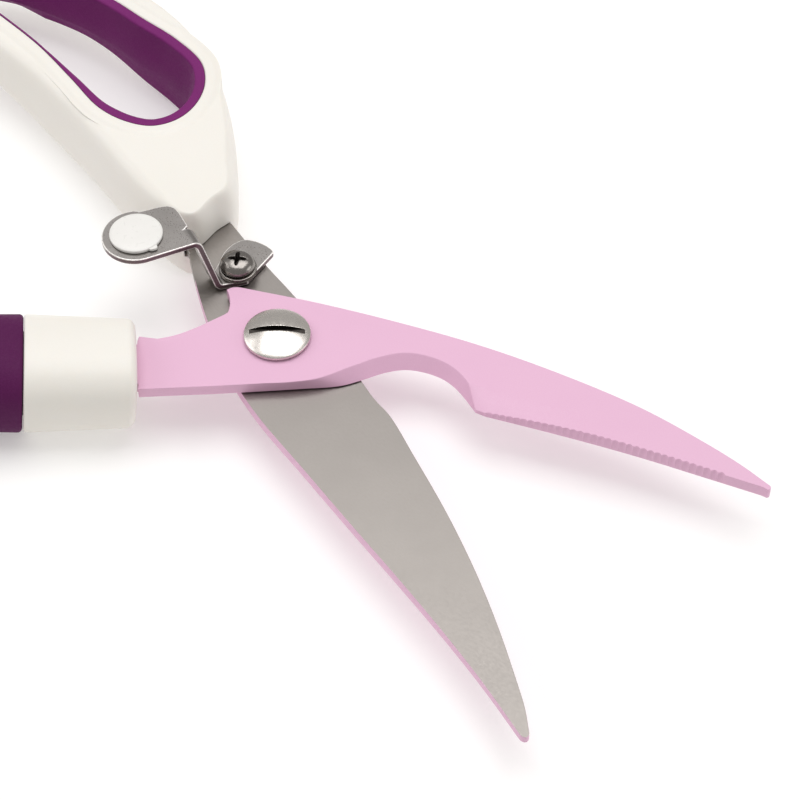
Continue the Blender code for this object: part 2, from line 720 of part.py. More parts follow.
def make_latch_plate(frame, mat):
    bm = bmesh.new()
    low = GAP + LATCH_THICKNESS / 2.0
    flat = latch_flat()
    near_x, far_x = flat[0][0], flat[-1][0]
    rows = []
    for y, z, shift in strip_route():
        rows.append((bm.verts.new((near_x + shift, y, z)), bm.verts.new((far_x + shift, y, z))))
    between = [bm.verts.new((x, y, low)) for x, y in flat[1:-1]]
    bm.faces.new([rows[0][0], *between, rows[0][1]])
    for a, b in zip(rows, rows[1:]):
        bm.faces.new((a[0], a[1], b[1], b[0]))
    near, far = rows[-1]
    outline = latch_tab(near.co.xy, far.co.xy)
    outer = [bm.verts.new((x, y, near.co.z)) for x, y in outline[1:-1]]
    bm.faces.new([far, *outer, near])
    bmesh.ops.recalc_face_normals(bm, faces=bm.faces)
    plate = add_object("latch_plate", bm, frame, mat, (*LATCH_CENTRE, 0.0))
    thick = plate.modifiers.new("thickness", "SOLIDIFY")
    thick.thickness = LATCH_THICKNESS * MM
    thick.offset = 0.0
    thick.use_even_offset = True
    hole = cylinder(LATCH_CENTRE, LATCH_HOLE_RADIUS, -1.0, LATCH_TOP + 1.0, 24)
    boolean(plate, add_object("latch_hole", hole, frame), "DIFFERENCE")
    low, high = TAB_BOTTOM - 1.0, TAB_TOP + 1.0
    hole = cylinder(BUTTON_CENTRE, BUTTON_STEM_RADIUS + GAP, low, high, 24)
    boolean(plate, add_object("button_hole", hole, frame), "DIFFERENCE")
    return plate


def make_latch_button(frame, mat):
    low = TAB_TOP + GAP
    edge = 0.75 * BUTTON_HEIGHT
    profile = [(0.0, low + BUTTON_HEIGHT)]
    for share in (0.4, 0.7, 0.9):
        drop = (BUTTON_HEIGHT - edge) * share ** 2
        profile.append((share * BUTTON_RADIUS, low + BUTTON_HEIGHT - drop))
    profile += [
        (BUTTON_RADIUS, low + edge - 0.3), (BUTTON_RADIUS, low), (BUTTON_STEM_RADIUS, low),
        (BUTTON_STEM_RADIUS, TAB_BOTTOM + 0.2), (0.0, TAB_BOTTOM + 0.2)]
    return turned("latch_button", profile, BUTTON_CENTRE, frame, mat)


def make_latch_washer(frame, mat):
    low = LATCH_TOP + GAP
    bm = cylinder(LATCH_CENTRE, WASHER_RADIUS, low, low + WASHER_THICKNESS, 32)
    washer = add_object("latch_washer", bm, frame, mat, (*LATCH_CENTRE, 0.0))
    hole = cylinder(LATCH_CENTRE, LATCH_SCREW_RADIUS + GAP, low - 1.0, low + 2.0, 24)
    boolean(washer, add_object("washer_hole", hole, frame), "DIFFERENCE")
    return washer


def make_latch_screw(frame, mat):
    """Pan-head cross-recess screw that the latch swivels on, tapped into the tang."""
    low = LATCH_TOP + WASHER_THICKNESS + 2.0 * GAP
    top = low + LATCH_HEAD_HEIGHT
    radius = LATCH_HEAD_RADIUS
    profile = [
        (0.0, top), (0.45 * radius, top - 0.1), (0.75 * radius, top - 0.45),
        (0.93 * radius, top - 1.0), (radius, top - 1.6), (radius, low + 0.1),
        (radius - 0.1, low), (LATCH_SCREW_RADIUS, low), (LATCH_SCREW_RADIUS, -BLADE_THICKNESS + 0.2),
        (0.0, -BLADE_THICKNESS + 0.2)]
    screw = turned("latch_screw", profile, LATCH_CENTRE, frame, mat, 28)
    for name, turn in (("recess_a", 20.0), ("recess_b", 110.0)):
        slot = box((*LATCH_CENTRE, top), (4.0, 0.9, 2.6), turn)
        boolean(screw, add_object(name, slot, frame), "DIFFERENCE")
    return screw


# ---------------------------------------------------------------- assembly

def main():
    clear_scene()
    new_collection(PARTS)
    new_collection(CUTTERS)
    pink = material("pink_coating", (0.78, 0.47, 0.70), 0.35, 0.2)
    steel = material("brushed_steel", (0.50, 0.48, 0.46), 0.35, 1.0)
    nickel = material("nickel_plate", (0.62, 0.59, 0.55), 0.22, 1.0)
    white = material("ivory_plastic", (0.86, 0.84, 0.80), 0.4, 0.0)
    purple = material("purple_rubber", (0.12, 0.02, 0.16), 0.6, 0.0)

    lower = make_frame("lower_half", None, (0.0, 0.0, SHEAR_Z), -OPEN_ANGLE / 2.0)
    upper = make_frame("upper_half", None, (0.0, 0.0, SHEAR_Z), OPEN_ANGLE / 2.0)

    make_lower_blade(lower, steel)
    make_loop_body(lower, white)
    make_loop_liner(lower, purple)
    make_pivot_nut(lower, nickel)
    make_pivot_screw(lower, nickel)
    make_latch_plate(lower, steel)
    make_latch_button(lower, white)
    make_latch_washer(lower, steel)
    make_latch_screw(lower, steel)

    axis = lever_axis()
    make_upper_blade(upper, pink)
    make_lever_core(axis, upper, white)
    make_lever_sleeve(axis, upper, purple)


main()
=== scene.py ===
"""The looks of the locking poultry shears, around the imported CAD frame.

Each half is drawn closed in its own frame, in millimetres: the pivot is the origin, the
tip lies on +X, and z is measured from the shear plane. A matrix per half puts the piece
in the object's frame, in metres.
"""
import math

import bmesh
import bpy
from mathutils import Matrix, Vector


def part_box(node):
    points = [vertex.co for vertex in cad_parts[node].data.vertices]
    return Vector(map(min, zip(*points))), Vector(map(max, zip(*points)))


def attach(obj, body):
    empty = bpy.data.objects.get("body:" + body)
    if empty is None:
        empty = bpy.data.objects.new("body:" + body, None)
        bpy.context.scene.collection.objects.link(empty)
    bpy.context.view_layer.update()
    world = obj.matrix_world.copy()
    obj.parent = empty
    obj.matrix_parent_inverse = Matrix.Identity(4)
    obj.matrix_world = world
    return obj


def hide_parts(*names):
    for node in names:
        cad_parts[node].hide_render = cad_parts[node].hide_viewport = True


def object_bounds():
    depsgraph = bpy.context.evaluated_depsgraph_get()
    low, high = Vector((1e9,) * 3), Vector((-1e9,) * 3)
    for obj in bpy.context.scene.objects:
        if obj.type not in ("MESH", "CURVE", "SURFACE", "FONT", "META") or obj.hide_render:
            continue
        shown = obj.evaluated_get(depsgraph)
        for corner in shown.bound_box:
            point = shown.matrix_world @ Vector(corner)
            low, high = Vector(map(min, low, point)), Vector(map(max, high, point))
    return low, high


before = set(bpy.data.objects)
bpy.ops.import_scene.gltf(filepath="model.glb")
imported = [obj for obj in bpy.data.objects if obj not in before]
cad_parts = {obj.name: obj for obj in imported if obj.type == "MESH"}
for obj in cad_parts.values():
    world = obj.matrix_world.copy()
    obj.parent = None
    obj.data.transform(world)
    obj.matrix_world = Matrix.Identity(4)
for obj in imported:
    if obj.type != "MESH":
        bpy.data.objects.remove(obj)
CAD_BOX = [list(corner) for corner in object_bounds()]

# Sizes in millimetres, angles in degrees and counts; most of the sizes are the CAD's own
OPEN_ANGLE = 40.5
BLADE_THICKNESS = 2.5
TIP_THICKNESS = 1.7
TAPER_START = 62.0
UPPER_BOTTOM = 0.3
UPPER_TOP = UPPER_BOTTOM + BLADE_THICKNESS
UPPER_LENGTH = 101.9
LOWER_LENGTH = 102.9
LOWER_BEVEL = 3.0
HANDLE_HEIGHT = 19.0
HALF_HEIGHT = HANDLE_HEIGHT / 2.0
BODY_HALF_HEIGHT = HALF_HEIGHT - 0.4
SHEAR_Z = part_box("lower_blade")[1].z * 1000.0
BORE_RADIUS = 4.0
NOTCH_START = 15.9
NOTCH_CORNER = (42.9, -1.4)
GRIND_LINE = ((39.7, 3.2), (86.0, 7.0))
GRIND_END = 84.0
FACET_STEPS = 16
TIP_STEPS = 8
CORNER_DROP = 1.75
CORNER_DROP_RUN = 24.0
LOOP_THIN_START = -78.0
LOOP_THIN_LENGTH = 34.0
LOOP_THIN_SHARE = 0.6
SERRATION_START = 45.0
SERRATION_END = 93.0
SERRATION_COUNT = 34
SERRATION_STEPS = 8
LEVER_START = (-23.1, -17.4)
LEVER_HEADING = 202.6
FERRULE_LENGTH = 22.1
FERRULE_WIDTH = 24.2
FERRULE_TAPER = 0.92
SKEW_SIDEWAYS = 0.10
SKEW_UPWARDS = 0.13
SLEEVE_PROUD = 0.1
LEVER_LENGTH = 127.0
CORE_LENGTH = 104.0
CORE_INSET = 3.2
HOLLOW_INSET = 2.9
SLEEVE_GAP = 0.12
SLEEVE_TAIL = 8.5
SECTION_POWER = 2.5
RIM_WIDTH = 2.7
TANG_END = -53.0
POCKET_GAP = 0.2
LATCH_CENTRE = (-21.2, 0.95)
LATCH_BORE_RADIUS = 2.1
LATCH_HEAD_RADIUS = 3.6
FINGER_REACH = 9.0
LATCH_LOW = 0.3
LATCH_THICKNESS = 1.3
TAB_BOTTOM = HALF_HEIGHT + 0.6
TAB_TOP = TAB_BOTTOM + LATCH_THICKNESS
STRIP_BASE = -3.2
STRIP_SHIFT = 4.4
LATCH_STRIP_WIDTH = 4.7
LATCH_STRIP_LEAN = 78.0
LATCH_BEND_RADIUS = 1.3
BUTTON_CENTRE = (-30.7, -16.7)
BUTTON_RADIUS = 5.4
BUTTON_BORE_RADIUS = 2.3
TAB_RADIUS = 7.0
HEAD_RADIUS = 6.7
HEAD_DOME = 1.5
SLOT_TURN = 63.1

# The camera, in metres, degrees and millimetres of lens, and the studio's brightness
CAMERA_PLACE = (0.2334, -0.2157, 0.3587)
CAMERA_TILT = 40.5
CAMERA_TURN = 42.85
CAMERA_LENS = 106.97
STUDIO_WHITE = (1.0, 0.985, 0.97, 1.0)
STUDIO_STRENGTH = 0.46
FLOOR_GLOW = 0.335
FLOOR_GAP = 0.0001


def half_matrix(turn):
    """From a half's own frame, in millimetres, to the object's, in metres."""
    place = Matrix.Translation((0.0, 0.0, SHEAR_Z)) @ Matrix.Rotation(math.radians(turn), 4, "Z")
    return Matrix.Scale(0.001, 4) @ place


LOWER = half_matrix(-OPEN_ANGLE / 2.0)
UPPER = half_matrix(OPEN_ANGLE / 2.0)


# ---------------------------------------------------------------- camera, light and floor

def make_camera():
    data = bpy.data.cameras.new("camera")
    data.lens = CAMERA_LENS
    data.sensor_width = 36.0
    camera = bpy.data.objects.new("camera", data)
    camera.location = CAMERA_PLACE
    camera.rotation_euler = (math.radians(CAMERA_TILT), 0.0, math.radians(CAMERA_TURN))
    bpy.context.scene.collection.objects.link(camera)
    bpy.context.scene.camera = camera


def area_light(name, place, size, radiance):
    """A soft box aimed at the pivot, with its power set from the radiance seen in reflections."""
    data = bpy.data.lights.new(name, "AREA")
    data.shape = "RECTANGLE"
    data.size, data.size_y = size
    data.energy = radiance * math.pi * size[0] * size[1]
    lamp = bpy.data.objects.new(name, data)
    lamp.location = place
    lamp.rotation_euler = (Vector() - place).to_track_quat("-Z", "Y").to_euler()
    bpy.context.scene.collection.objects.link(lamp)


def make_light():
    """A bright studio: an even pale surround and soft boxes above and to both sides."""
    world = bpy.data.worlds.new("studio")
    world.use_nodes = True
    surround = world.node_tree.nodes["Background"]
    surround.inputs["Color"].default_value = STUDIO_WHITE
    surround.inputs["Strength"].default_value = STUDIO_STRENGTH
    bpy.context.scene.world = world
    back = Vector((-0.68, 0.73, 0.0))
    side = Vector((0.73, 0.68, 0.0))
    up = Vector((0.0, 0.0, 1.0))
    area_light("soft_box_top", up * 0.85 + back * 0.22 + side * 0.05, (0.85, 0.7), 2.55)
    area_light("soft_box_left", up * 0.55 - side * 0.75 + back * 0.2, (0.6, 0.6), 1.7)
    area_light("soft_box_right", up * 0.3 + side * 0.85 - back * 0.1, (0.5, 0.4), 1.6)
    bpy.context.scene.view_settings.view_transform = "Standard"


def make_floor(mat):
    bm = bmesh.new()
    bmesh.ops.create_grid(bm, x_segments=1, y_segments=1, size=3.0)
    mesh = bpy.data.meshes.new("floor")
    bm.to_mesh(mesh)
    bm.free()
    mesh.materials.append(mat)
    floor = bpy.data.objects.new("floor", mesh)
    floor.location.z = CAD_BOX[0][2] - FLOOR_GAP
    bpy.context.scene.collection.objects.link(floor)


# ---------------------------------------------------------------- materials

class Nodes:
    """A short way to build a procedural material, in object coordinates (metres)."""

    def __init__(self, name, colour, roughness, metallic=0.0, specular=0.5):
        self.mat = bpy.data.materials.new(name)
        self.mat.use_nodes = True
        self.tree = self.mat.node_tree
        self.shader = self.tree.nodes["Principled BSDF"]
        self.shader.inputs["Base Color"].default_value = (*colour, 1.0)
        self.shader.inputs["Roughness"].default_value = roughness
        self.shader.inputs["Metallic"].default_value = metallic
        self.shader.inputs["Specular IOR Level"].default_value = specular
        self.mat.diffuse_color = (*colour, 1.0)
        self.colour = colour
        self.coords = self.tree.nodes.new("ShaderNodeTexCoord")

    def link(self, a, b):
        self.tree.links.new(a, b)

    def noise(self, scale, detail=2.0, stretch=(1.0, 1.0, 1.0), turn=0.0):
        mapping = self.tree.nodes.new("ShaderNodeMapping")
        mapping.inputs["Rotation"].default_value = (0.0, 0.0, math.radians(turn))
        mapping.inputs["Scale"].default_value = stretch
        noise = self.tree.nodes.new("ShaderNodeTexNoise")
        noise.inputs["Scale"].default_value = scale
        noise.inputs["Detail"].default_value = detail
        self.link(self.coords.outputs["Object"], mapping.inputs["Vector"])
        self.link(mapping.outputs["Vector"], noise.inputs["Vector"])
        return noise.outputs["Fac"]

    def ramp(self, value, low, high, dark, bright):
        """The value between low and high mapped to a number between dark and bright."""
        node = self.tree.nodes.new("ShaderNodeMapRange")
        node.inputs["From Min"].default_value = low
        node.inputs["From Max"].default_value = high
        node.inputs["To Min"].default_value = dark
        node.inputs["To Max"].default_value = bright
        self.link(value, node.inputs["Value"])
        return node.outputs["Result"]

    def tint(self, value, other, source=None):
        """The base colour, or the source's, mixed towards another colour by the value."""
        node = self.tree.nodes.new("ShaderNodeMix")
        node.data_type = "RGBA"
        node.inputs[6].default_value = (*self.colour, 1.0)
        node.inputs[7].default_value = (*other, 1.0)
        if source is not None:
            self.link(source, node.inputs[6])
        self.link(value, node.inputs[0])
        return node.outputs[2]

    def colour_from(self, socket):
        self.link(socket, self.shader.inputs["Base Color"])

    def rough_from(self, socket):
        self.link(socket, self.shader.inputs["Roughness"])

    def bump(self, value, height, strength):
        node = self.tree.nodes.new("ShaderNodeBump")
        node.inputs["Strength"].default_value = strength
        node.inputs["Distance"].default_value = height
        self.link(value, node.inputs["Height"])
        self.link(node.outputs["Normal"], self.shader.inputs["Normal"])


def pink_coating():
    """Satin coating with a fine sparkle, darkened very slightly in broad patches."""
    n = Nodes("pink_coating", (0.765, 0.45, 0.625), 0.42, 0.0, 0.45)
    speck = n.ramp(n.noise(5200.0, 2.0), 0.35, 0.65, 0.0, 0.28)
    first = n.tint(speck, (0.83, 0.565, 0.715))
    cloud = n.ramp(n.noise(60.0, 3.0), 0.4, 0.7, 0.0, 0.18)
    n.colour_from(n.tint(cloud, (0.72, 0.41, 0.59), first))
    n.rough_from(n.ramp(n.noise(1800.0, 2.0), 0.3, 0.7, 0.36, 0.48))
    n.bump(n.noise(3600.0, 2.0), 0.00002, 0.25)
    return n.mat


def blade_steel():
    """Ground stainless: fine grain along the blade, slightly mottled."""
    n = Nodes("blade_steel", (0.295, 0.272, 0.255), 0.40, 1.0)
    grain = n.noise(2600.0, 3.0, (0.45, 1.0, 1.0), -OPEN_ANGLE / 2.0)
    first = n.tint(n.ramp(grain, 0.3, 0.7, 0.0, 0.5), (0.355, 0.33, 0.31))
    cloud = n.ramp(n.noise(90.0, 3.0), 0.4, 0.7, 0.0, 0.3)
    n.colour_from(n.tint(cloud, (0.265, 0.245, 0.23), first))
    n.rough_from(n.ramp(grain, 0.3, 0.7, 0.36, 0.48))
    n.bump(grain, 0.00001, 0.35)
    return n.mat


def latch_steel():
    """Rolled sheet with a brushed grain across it, a little oily."""
    n = Nodes("latch_steel", (0.33, 0.31, 0.297), 0.29, 1.0)
    grain = n.noise(5200.0, 1.0, (0.5, 1.0, 1.0), 30.0)
    first = n.tint(n.ramp(grain, 0.3, 0.7, 0.0, 0.3), (0.39, 0.368, 0.352))
    haze = n.ramp(n.noise(160.0, 2.0), 0.4, 0.65, 0.0, 0.4)
    n.colour_from(n.tint(haze, (0.27, 0.252, 0.24), first))
    n.rough_from(n.ramp(grain, 0.3, 0.7, 0.27, 0.33))
    n.bump(grain, 0.000002, 0.1)
    return n.mat


def painted_edge_reflection():
    """Painted reflection on the sheet's cut edges: a dark pinkish colour stands in for the dark
    and pink surroundings they reflect; their coarser finish is real roughness and bump.
    """
    n = Nodes("painted_edge_reflection", (0.17, 0.125, 0.135), 0.36, 1.0)
    streak = n.noise(4200.0, 2.0)
    n.colour_from(n.tint(n.ramp(streak, 0.4, 0.7, 0.0, 0.6), (0.25, 0.20, 0.205)))
    n.rough_from(n.ramp(streak, 0.3, 0.7, 0.30, 0.45))
    n.bump(streak, 0.00001, 0.3)
    return n.mat


def painted_edge_highlight():
    """Painted highlight: a bright line on the sheet's rounded corners, standing in for the bright
    surroundings they reflect.
    """
    n = Nodes("painted_edge_highlight", (0.90, 0.87, 0.84), 0.30, 0.4)
    highlight_streak = n.noise(1500.0, 2.0)
    n.colour_from(n.tint(n.ramp(highlight_streak, 0.5, 0.75, 0.0, 0.7), (0.60, 0.57, 0.55)))
    n.rough_from(n.ramp(highlight_streak, 0.3, 0.7, 0.22, 0.38))
    return n.mat


def painted_recess_shade():
    """Painted shade inside a slot or recess: near-black metal, mottled a little lighter."""
    n = Nodes("painted_recess_shade", (0.055, 0.048, 0.044), 0.45, 1.0)
    shade_mottle = n.noise(2600.0, 3.0)
    n.colour_from(n.tint(n.ramp(shade_mottle, 0.5, 0.75, 0.0, 0.5), (0.16, 0.145, 0.13)))
    n.rough_from(n.ramp(shade_mottle, 0.3, 0.7, 0.38, 0.6))
    return n.mat


def nickel_plate():
    """Worn nickel: a blurred reflection, fine scratches across the dome and darker patches."""
    n = Nodes("nickel_plate", (0.70, 0.66, 0.62), 0.27, 1.0)
    wear = n.noise(1300.0, 4.0)
    scratch = n.noise(2400.0, 3.0, (0.25, 1.6, 1.0), SLOT_TURN - OPEN_ANGLE / 2.0)
    first = n.tint(n.ramp(wear, 0.42, 0.7, 0.0, 0.4), (0.56, 0.52, 0.48))
    n.colour_from(n.tint(n.ramp(scratch, 0.5, 0.75, 0.0, 0.4), (0.82, 0.78, 0.74), first))
    n.rough_from(n.ramp(wear, 0.3, 0.7, 0.22, 0.34))
    n.bump(scratch, 0.00002, 0.25)
    return n.mat


def screw_steel():
    """Bare screw steel, dull and unevenly worn."""
    n = Nodes("screw_steel", (0.27, 0.25, 0.235), 0.24, 1.0)
    wear = n.noise(2200.0, 3.0)
    n.colour_from(n.tint(n.ramp(wear, 0.4, 0.7, 0.0, 0.6), (0.22, 0.205, 0.19)))
    n.rough_from(n.ramp(wear, 0.3, 0.7, 0.18, 0.30))
    n.bump(wear, 0.00002, 0.3)
    return n.mat


def ivory_plastic():
    """Satin moulded plastic, a touch warm, with the faintest orange peel."""
    n = Nodes("ivory_plastic", (0.845, 0.815, 0.755), 0.38, 0.0, 0.45)
    cloud = n.ramp(n.noise(35.0, 3.0), 0.4, 0.65, 0.0, 0.5)
    first = n.tint(cloud, (0.87, 0.84, 0.79))
    speck = n.ramp(n.noise(2600.0, 2.0), 0.4, 0.7, 0.0, 0.12)
    n.colour_from(n.tint(speck, (0.78, 0.75, 0.70), first))
    n.rough_from(n.ramp(n.noise(700.0, 2.0), 0.3, 0.7, 0.33, 0.44))
    n.bump(n.noise(1300.0, 2.0), 0.00002, 0.12)
    n.shader.inputs["Subsurface Weight"].default_value = 0.08
    n.shader.inputs["Subsurface Radius"].default_value = (1.0, 0.8, 0.6)
    n.shader.inputs["Subsurface Scale"].default_value = 0.0012
    return n.mat


def button_plastic():
    """The button's plastic, whiter and glossier than the handles'."""
    n = Nodes("button_plastic", (0.83, 0.815, 0.785), 0.32, 0.0, 0.45)
    cloud = n.ramp(n.noise(220.0, 3.0), 0.4, 0.7, 0.0, 0.5)
    n.colour_from(n.tint(cloud, (0.79, 0.775, 0.745)))
    n.rough_from(n.ramp(n.noise(900.0, 2.0), 0.3, 0.7, 0.25, 0.38))
    n.bump(n.noise(900.0, 2.0), 0.00003, 0.15)
    return n.mat


def purple_rubber(name, depth):
    """Soft-touch rubber: a fine matte grain with a velvety sheen."""
    # depth scales one rubber's colour: above 1 it is painted light, below 1 painted shade.
    n = Nodes(name, (0.125 * depth, 0.012 * depth, 0.098 * depth), 0.60, 0.0, 0.12)
    speck = n.ramp(n.noise(4200.0, 3.0), 0.35, 0.7, 0.0, 0.5)
    first = n.tint(speck, (0.175 * depth, 0.024 * depth, 0.14 * depth))
    cloud = n.ramp(n.noise(45.0, 2.0), 0.4, 0.7, 0.0, 0.3)
    n.colour_from(n.tint(cloud, (0.095 * depth, 0.009 * depth, 0.073 * depth), first))
    n.rough_from(n.ramp(n.noise(1500.0, 2.0), 0.3, 0.7, 0.52, 0.68))
    n.bump(n.noise(3000.0, 3.0), 0.00003, 0.4)
    n.shader.inputs["Sheen Weight"].default_value = 0.04
    n.shader.inputs["Sheen Roughness"].default_value = 0.5
    n.shader.inputs["Sheen Tint"].default_value = (0.9, 0.55, 0.85, 1.0)
    return n.mat


def floor_white():
    """The stage: matte white that glows a little, so that it stays pale beyond the lights."""
    n = Nodes("floor_white", (0.70, 0.695, 0.69), 0.75, 0.0, 0.15)
    cloud = n.ramp(n.noise(6.0, 2.0), 0.4, 0.7, 0.0, 0.3)
    n.colour_from(n.tint(cloud, (0.73, 0.725, 0.72)))
    n.shader.inputs["Emission Color"].default_value = STUDIO_WHITE
    n.shader.inputs["Emission Strength"].default_value = FLOOR_GLOW
    return n.mat


# ---------------------------------------------------------------- curves and solids

def smooth_line(points, steps, closed=False):
    """A centripetal Catmull-Rom curve through the points, `steps` samples a span."""
    if closed:
        ring = [points[-1], *points, points[0], points[1]]
        spans = len(points)
    else:
        first = [2 * points[0][i] - points[1][i] for i in (0, 1)]
        last = [2 * points[-1][i] - points[-2][i] for i in (0, 1)]
        ring = [first, *points, last]
        spans = len(points) - 1
    line = []
    for span in range(spans):
        line += span_points(ring[span:span + 4], steps)
    if not closed:
        line.append(tuple(points[-1]))
    return line


def span_points(corners, steps):
    """The samples of one span of the curve, between the second and third of four points."""
    times = [0.0]
    for a, b in zip(corners, corners[1:]):
        times.append(times[-1] + math.dist(a, b) ** 0.5)
    samples = []
    for step in range(steps):
        t = times[1] + (times[2] - times[1]) * step / steps
        level = list(corners)
        for depth in (1, 2, 3):
            shorter = []
            for i in range(4 - depth):
                low, high = (1, 2) if depth == 3 else (i, i + depth)
                share = (t - times[low]) / (times[high] - times[low])
                shorter.append(mix(level[i], level[i + 1], share))
            level = shorter
        samples.append(level[0])
    return samples


def mix(a, b, share):
    """The point this share of the way from a to b."""
    return tuple(p + (q - p) * share for p, q in zip(a, b))


def arc(centre, radius, start, end, steps):
    points = []
    for step in range(steps + 1):
        angle = math.radians(start + (end - start) * step / steps)
        points.append((centre[0] + radius * math.cos(angle), centre[1] + radius * math.sin(angle)))
    return points


def offset(outline, distances):
    """Moves each point of a counter-clockwise outline outwards by its own distance."""
    if not isinstance(distances, (list, tuple)):
        distances = [distances] * len(outline)
    moved = []
    for i, point in enumerate(outline):
        before = outline[i - 1]
        after = outline[(i + 1) % len(outline)]
        dx, dy = after[0] - before[0], after[1] - before[1]
        size = math.hypot(dx, dy)
        moved.append((point[0] + distances[i] * dy / size, point[1] - distances[i] * dx / size))
    return moved


def level_ring(outline, z):
    return [(x, y, z) for x, y in outline]


def bridge(bm, ring):
    """Caps a ring with strips across it, from its highest x down, so that a rise stays smooth."""
    front = max(range(len(ring)), key=lambda i: ring[i].co.x)
    order = ring[front:] + ring[:front]
    i, j = 0, len(order)
    while j - i > 1:
        a, b = order[i], order[j % len(order)]
        if order[i + 1].co.x > order[j - 1].co.x:
            i += 1
            corners = (a, order[i], b)
        else:
            j -= 1
            corners = (a, order[j], b)
        if len(set(corners)) == 3:
            bm.faces.new(corners)


def loft(rings, around=False, uneven=False):
    """A closed solid through rings of equal count: capped at both ends, or run around.

    The first cap is bridged across where its ring is uneven.
    """
    bm = bmesh.new()
    loops = [[bm.verts.new(point) for point in ring] for ring in rings]
    pairs = list(zip(loops, loops[1:]))
    if around:
        pairs.append((loops[-1], loops[0]))
    else:
        if uneven:
            bridge(bm, loops[0])
        else:
            bm.faces.new(reversed(loops[0]))
        bm.faces.new(loops[-1])
    for low, high in pairs:
        for i in range(len(low)):
            j = (i + 1) % len(low)
            bm.faces.new((low[i], low[j], high[j], high[i]))
    bmesh.ops.recalc_face_normals(bm, faces=bm.faces)
    return bm


def cylinder(centre, radius, low, high, segments=72):
    bm = bmesh.new()
    place = Matrix.Translation((centre[0], centre[1], (low + high) / 2.0))
    bmesh.ops.create_cone(
        bm, cap_ends=True, segments=segments, radius1=radius, radius2=radius,
        depth=high - low, matrix=place)
    return bm


def spun(profile, centre, steps=96):
    """A closed solid from (radius, z) points, top of the axis first, spun about +Z."""
    bm = bmesh.new()
    rings = []
    for radius, z in profile:
        if radius == 0.0:
            rings.append([bm.verts.new((centre[0], centre[1], z))])
            continue
        ring = []
        for i in range(steps):
            angle = 2.0 * math.pi * i / steps
            x = centre[0] + radius * math.cos(angle)
            ring.append(bm.verts.new((x, centre[1] + radius * math.sin(angle), z)))
        rings.append(ring)
    for a, b in zip(rings, rings[1:]):
        for i in range(steps):
            j = (i + 1) % steps
            corners = [a[i % len(a)], a[j % len(a)], b[j % len(b)], b[i % len(b)]]
            bm.faces.new(list(dict.fromkeys(corners)))
    bmesh.ops.recalc_face_normals(bm, faces=bm.faces)
    return bm


def quarter(radius, steps):
    """(step in, step down) pairs of a rounded edge, from the flat to the wall."""
    pairs = []
    for step in range(steps + 1):
        angle = math.pi / 2.0 * step / steps
        pairs.append((radius * (1.0 - math.sin(angle)), radius * (1.0 - math.cos(angle))))
    return pairs


# ---------------------------------------------------------------- pieces

def mesh_object(name, bm, half):
    bmesh.ops.transform(bm, matrix=half, verts=bm.verts)
    mesh = bpy.data.meshes.new(name)
    bm.to_mesh(mesh)
    bm.free()
    obj = bpy.data.objects.new(name, mesh)
    bpy.context.scene.collection.objects.link(obj)
    return obj


def change(obj, modifiers):
    """Applies modifiers, given as (type, settings), to the object's mesh."""
    for kind, settings in modifiers:
        modifier = obj.modifiers.new(kind.lower(), kind)
        for key, value in settings.items():
            setattr(modifier, key, value)
    graph = bpy.context.evaluated_depsgraph_get()
    mesh = bpy.data.meshes.new_from_object(obj.evaluated_get(graph))
    old = obj.data
    obj.modifiers.clear()
    obj.data = mesh
    bpy.data.meshes.remove(old)
    mesh.name = obj.name


def cut(obj, bm, half, operation="DIFFERENCE", dark=False):
    """An exact boolean with a solid that isn't kept; its walls may take the second material."""
    tool = mesh_object("tool", bm, half)
    if dark:
        slots = [bpy.data.materials.new(name) for name in ("outer", "inner")]
        obj.data.materials.append(slots[0])
        tool.data.materials.append(slots[1])
    change(obj, [("BOOLEAN", {
        "object": tool, "operation": operation, "solver": "EXACT",
        "material_mode": "TRANSFER" if dark else "INDEX"})])
    if dark:
        inner = [m.name for m in obj.data.materials].index(slots[1].name)
        flags = [1 if face.material_index == inner else 0 for face in obj.data.polygons]
        obj.data.materials.clear()
        obj.data.polygons.foreach_set("material_index", flags)
        for mat in slots:
            bpy.data.materials.remove(mat)
    data = tool.data
    bpy.data.objects.remove(tool, do_unlink=True)
    bpy.data.meshes.remove(data)


def bevel(obj, width, angle, material=-1):
    """Rounds the edges sharper than the angle.

    The rounding may take a material of its own, and its width isn't clamped then.
    """
    change(obj, [("BEVEL", {
        "material": material, "width": width * 0.001, "segments": 2, "limit_method": "ANGLE",
        "angle_limit": math.radians(angle), "use_clamp_overlap": material < 0,
        "harden_normals": False})])


def finish_piece(obj, mats, body, replaced, sharp=38.0):
    """Materials, unless it has them, shading, its body and the CAD node it replaces."""
    if not obj.data.materials:
        for mat in mats:
            obj.data.materials.append(mat)
    obj.data.shade_smooth()
    obj.data.set_sharp_from_angle(angle=math.radians(sharp))
    normals = obj.modifiers.new("normals", "WEIGHTED_NORMAL")
    normals.keep_sharp = True
    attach(obj, body)
    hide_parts(replaced)


def lever_point(along, across):
    """A point in the lever's own directions, from where the lever starts."""
    heading = math.radians(LEVER_HEADING)
    x = LEVER_START[0] + along * math.cos(heading) + across * math.sin(heading)
    y = LEVER_START[1] + along * math.sin(heading) - across * math.cos(heading)
    return (x, y)


def upper_back():
    """From the tip along the blade's back to the hook that the latch holds."""
    back = smooth_line([
        (UPPER_LENGTH - 0.9, 1.6), (94.7, 4.2), (85.9, 7.0), (72.6, 10.3), (55.2, 12.5),
        (38.1, 13.4), (21.1, 12.9), (4.2, 11.6), (-11.3, 9.6)], 12)
    bump = smooth_line([(-11.3, 9.6), (-13.0, 9.3), (-14.1, 8.7), (-14.6, 8.1)], 3)[1:-1]
    hook = arc(LATCH_CENTRE, FINGER_REACH + 0.35, 47.0, 8.0, 14)
    return back + bump + hook


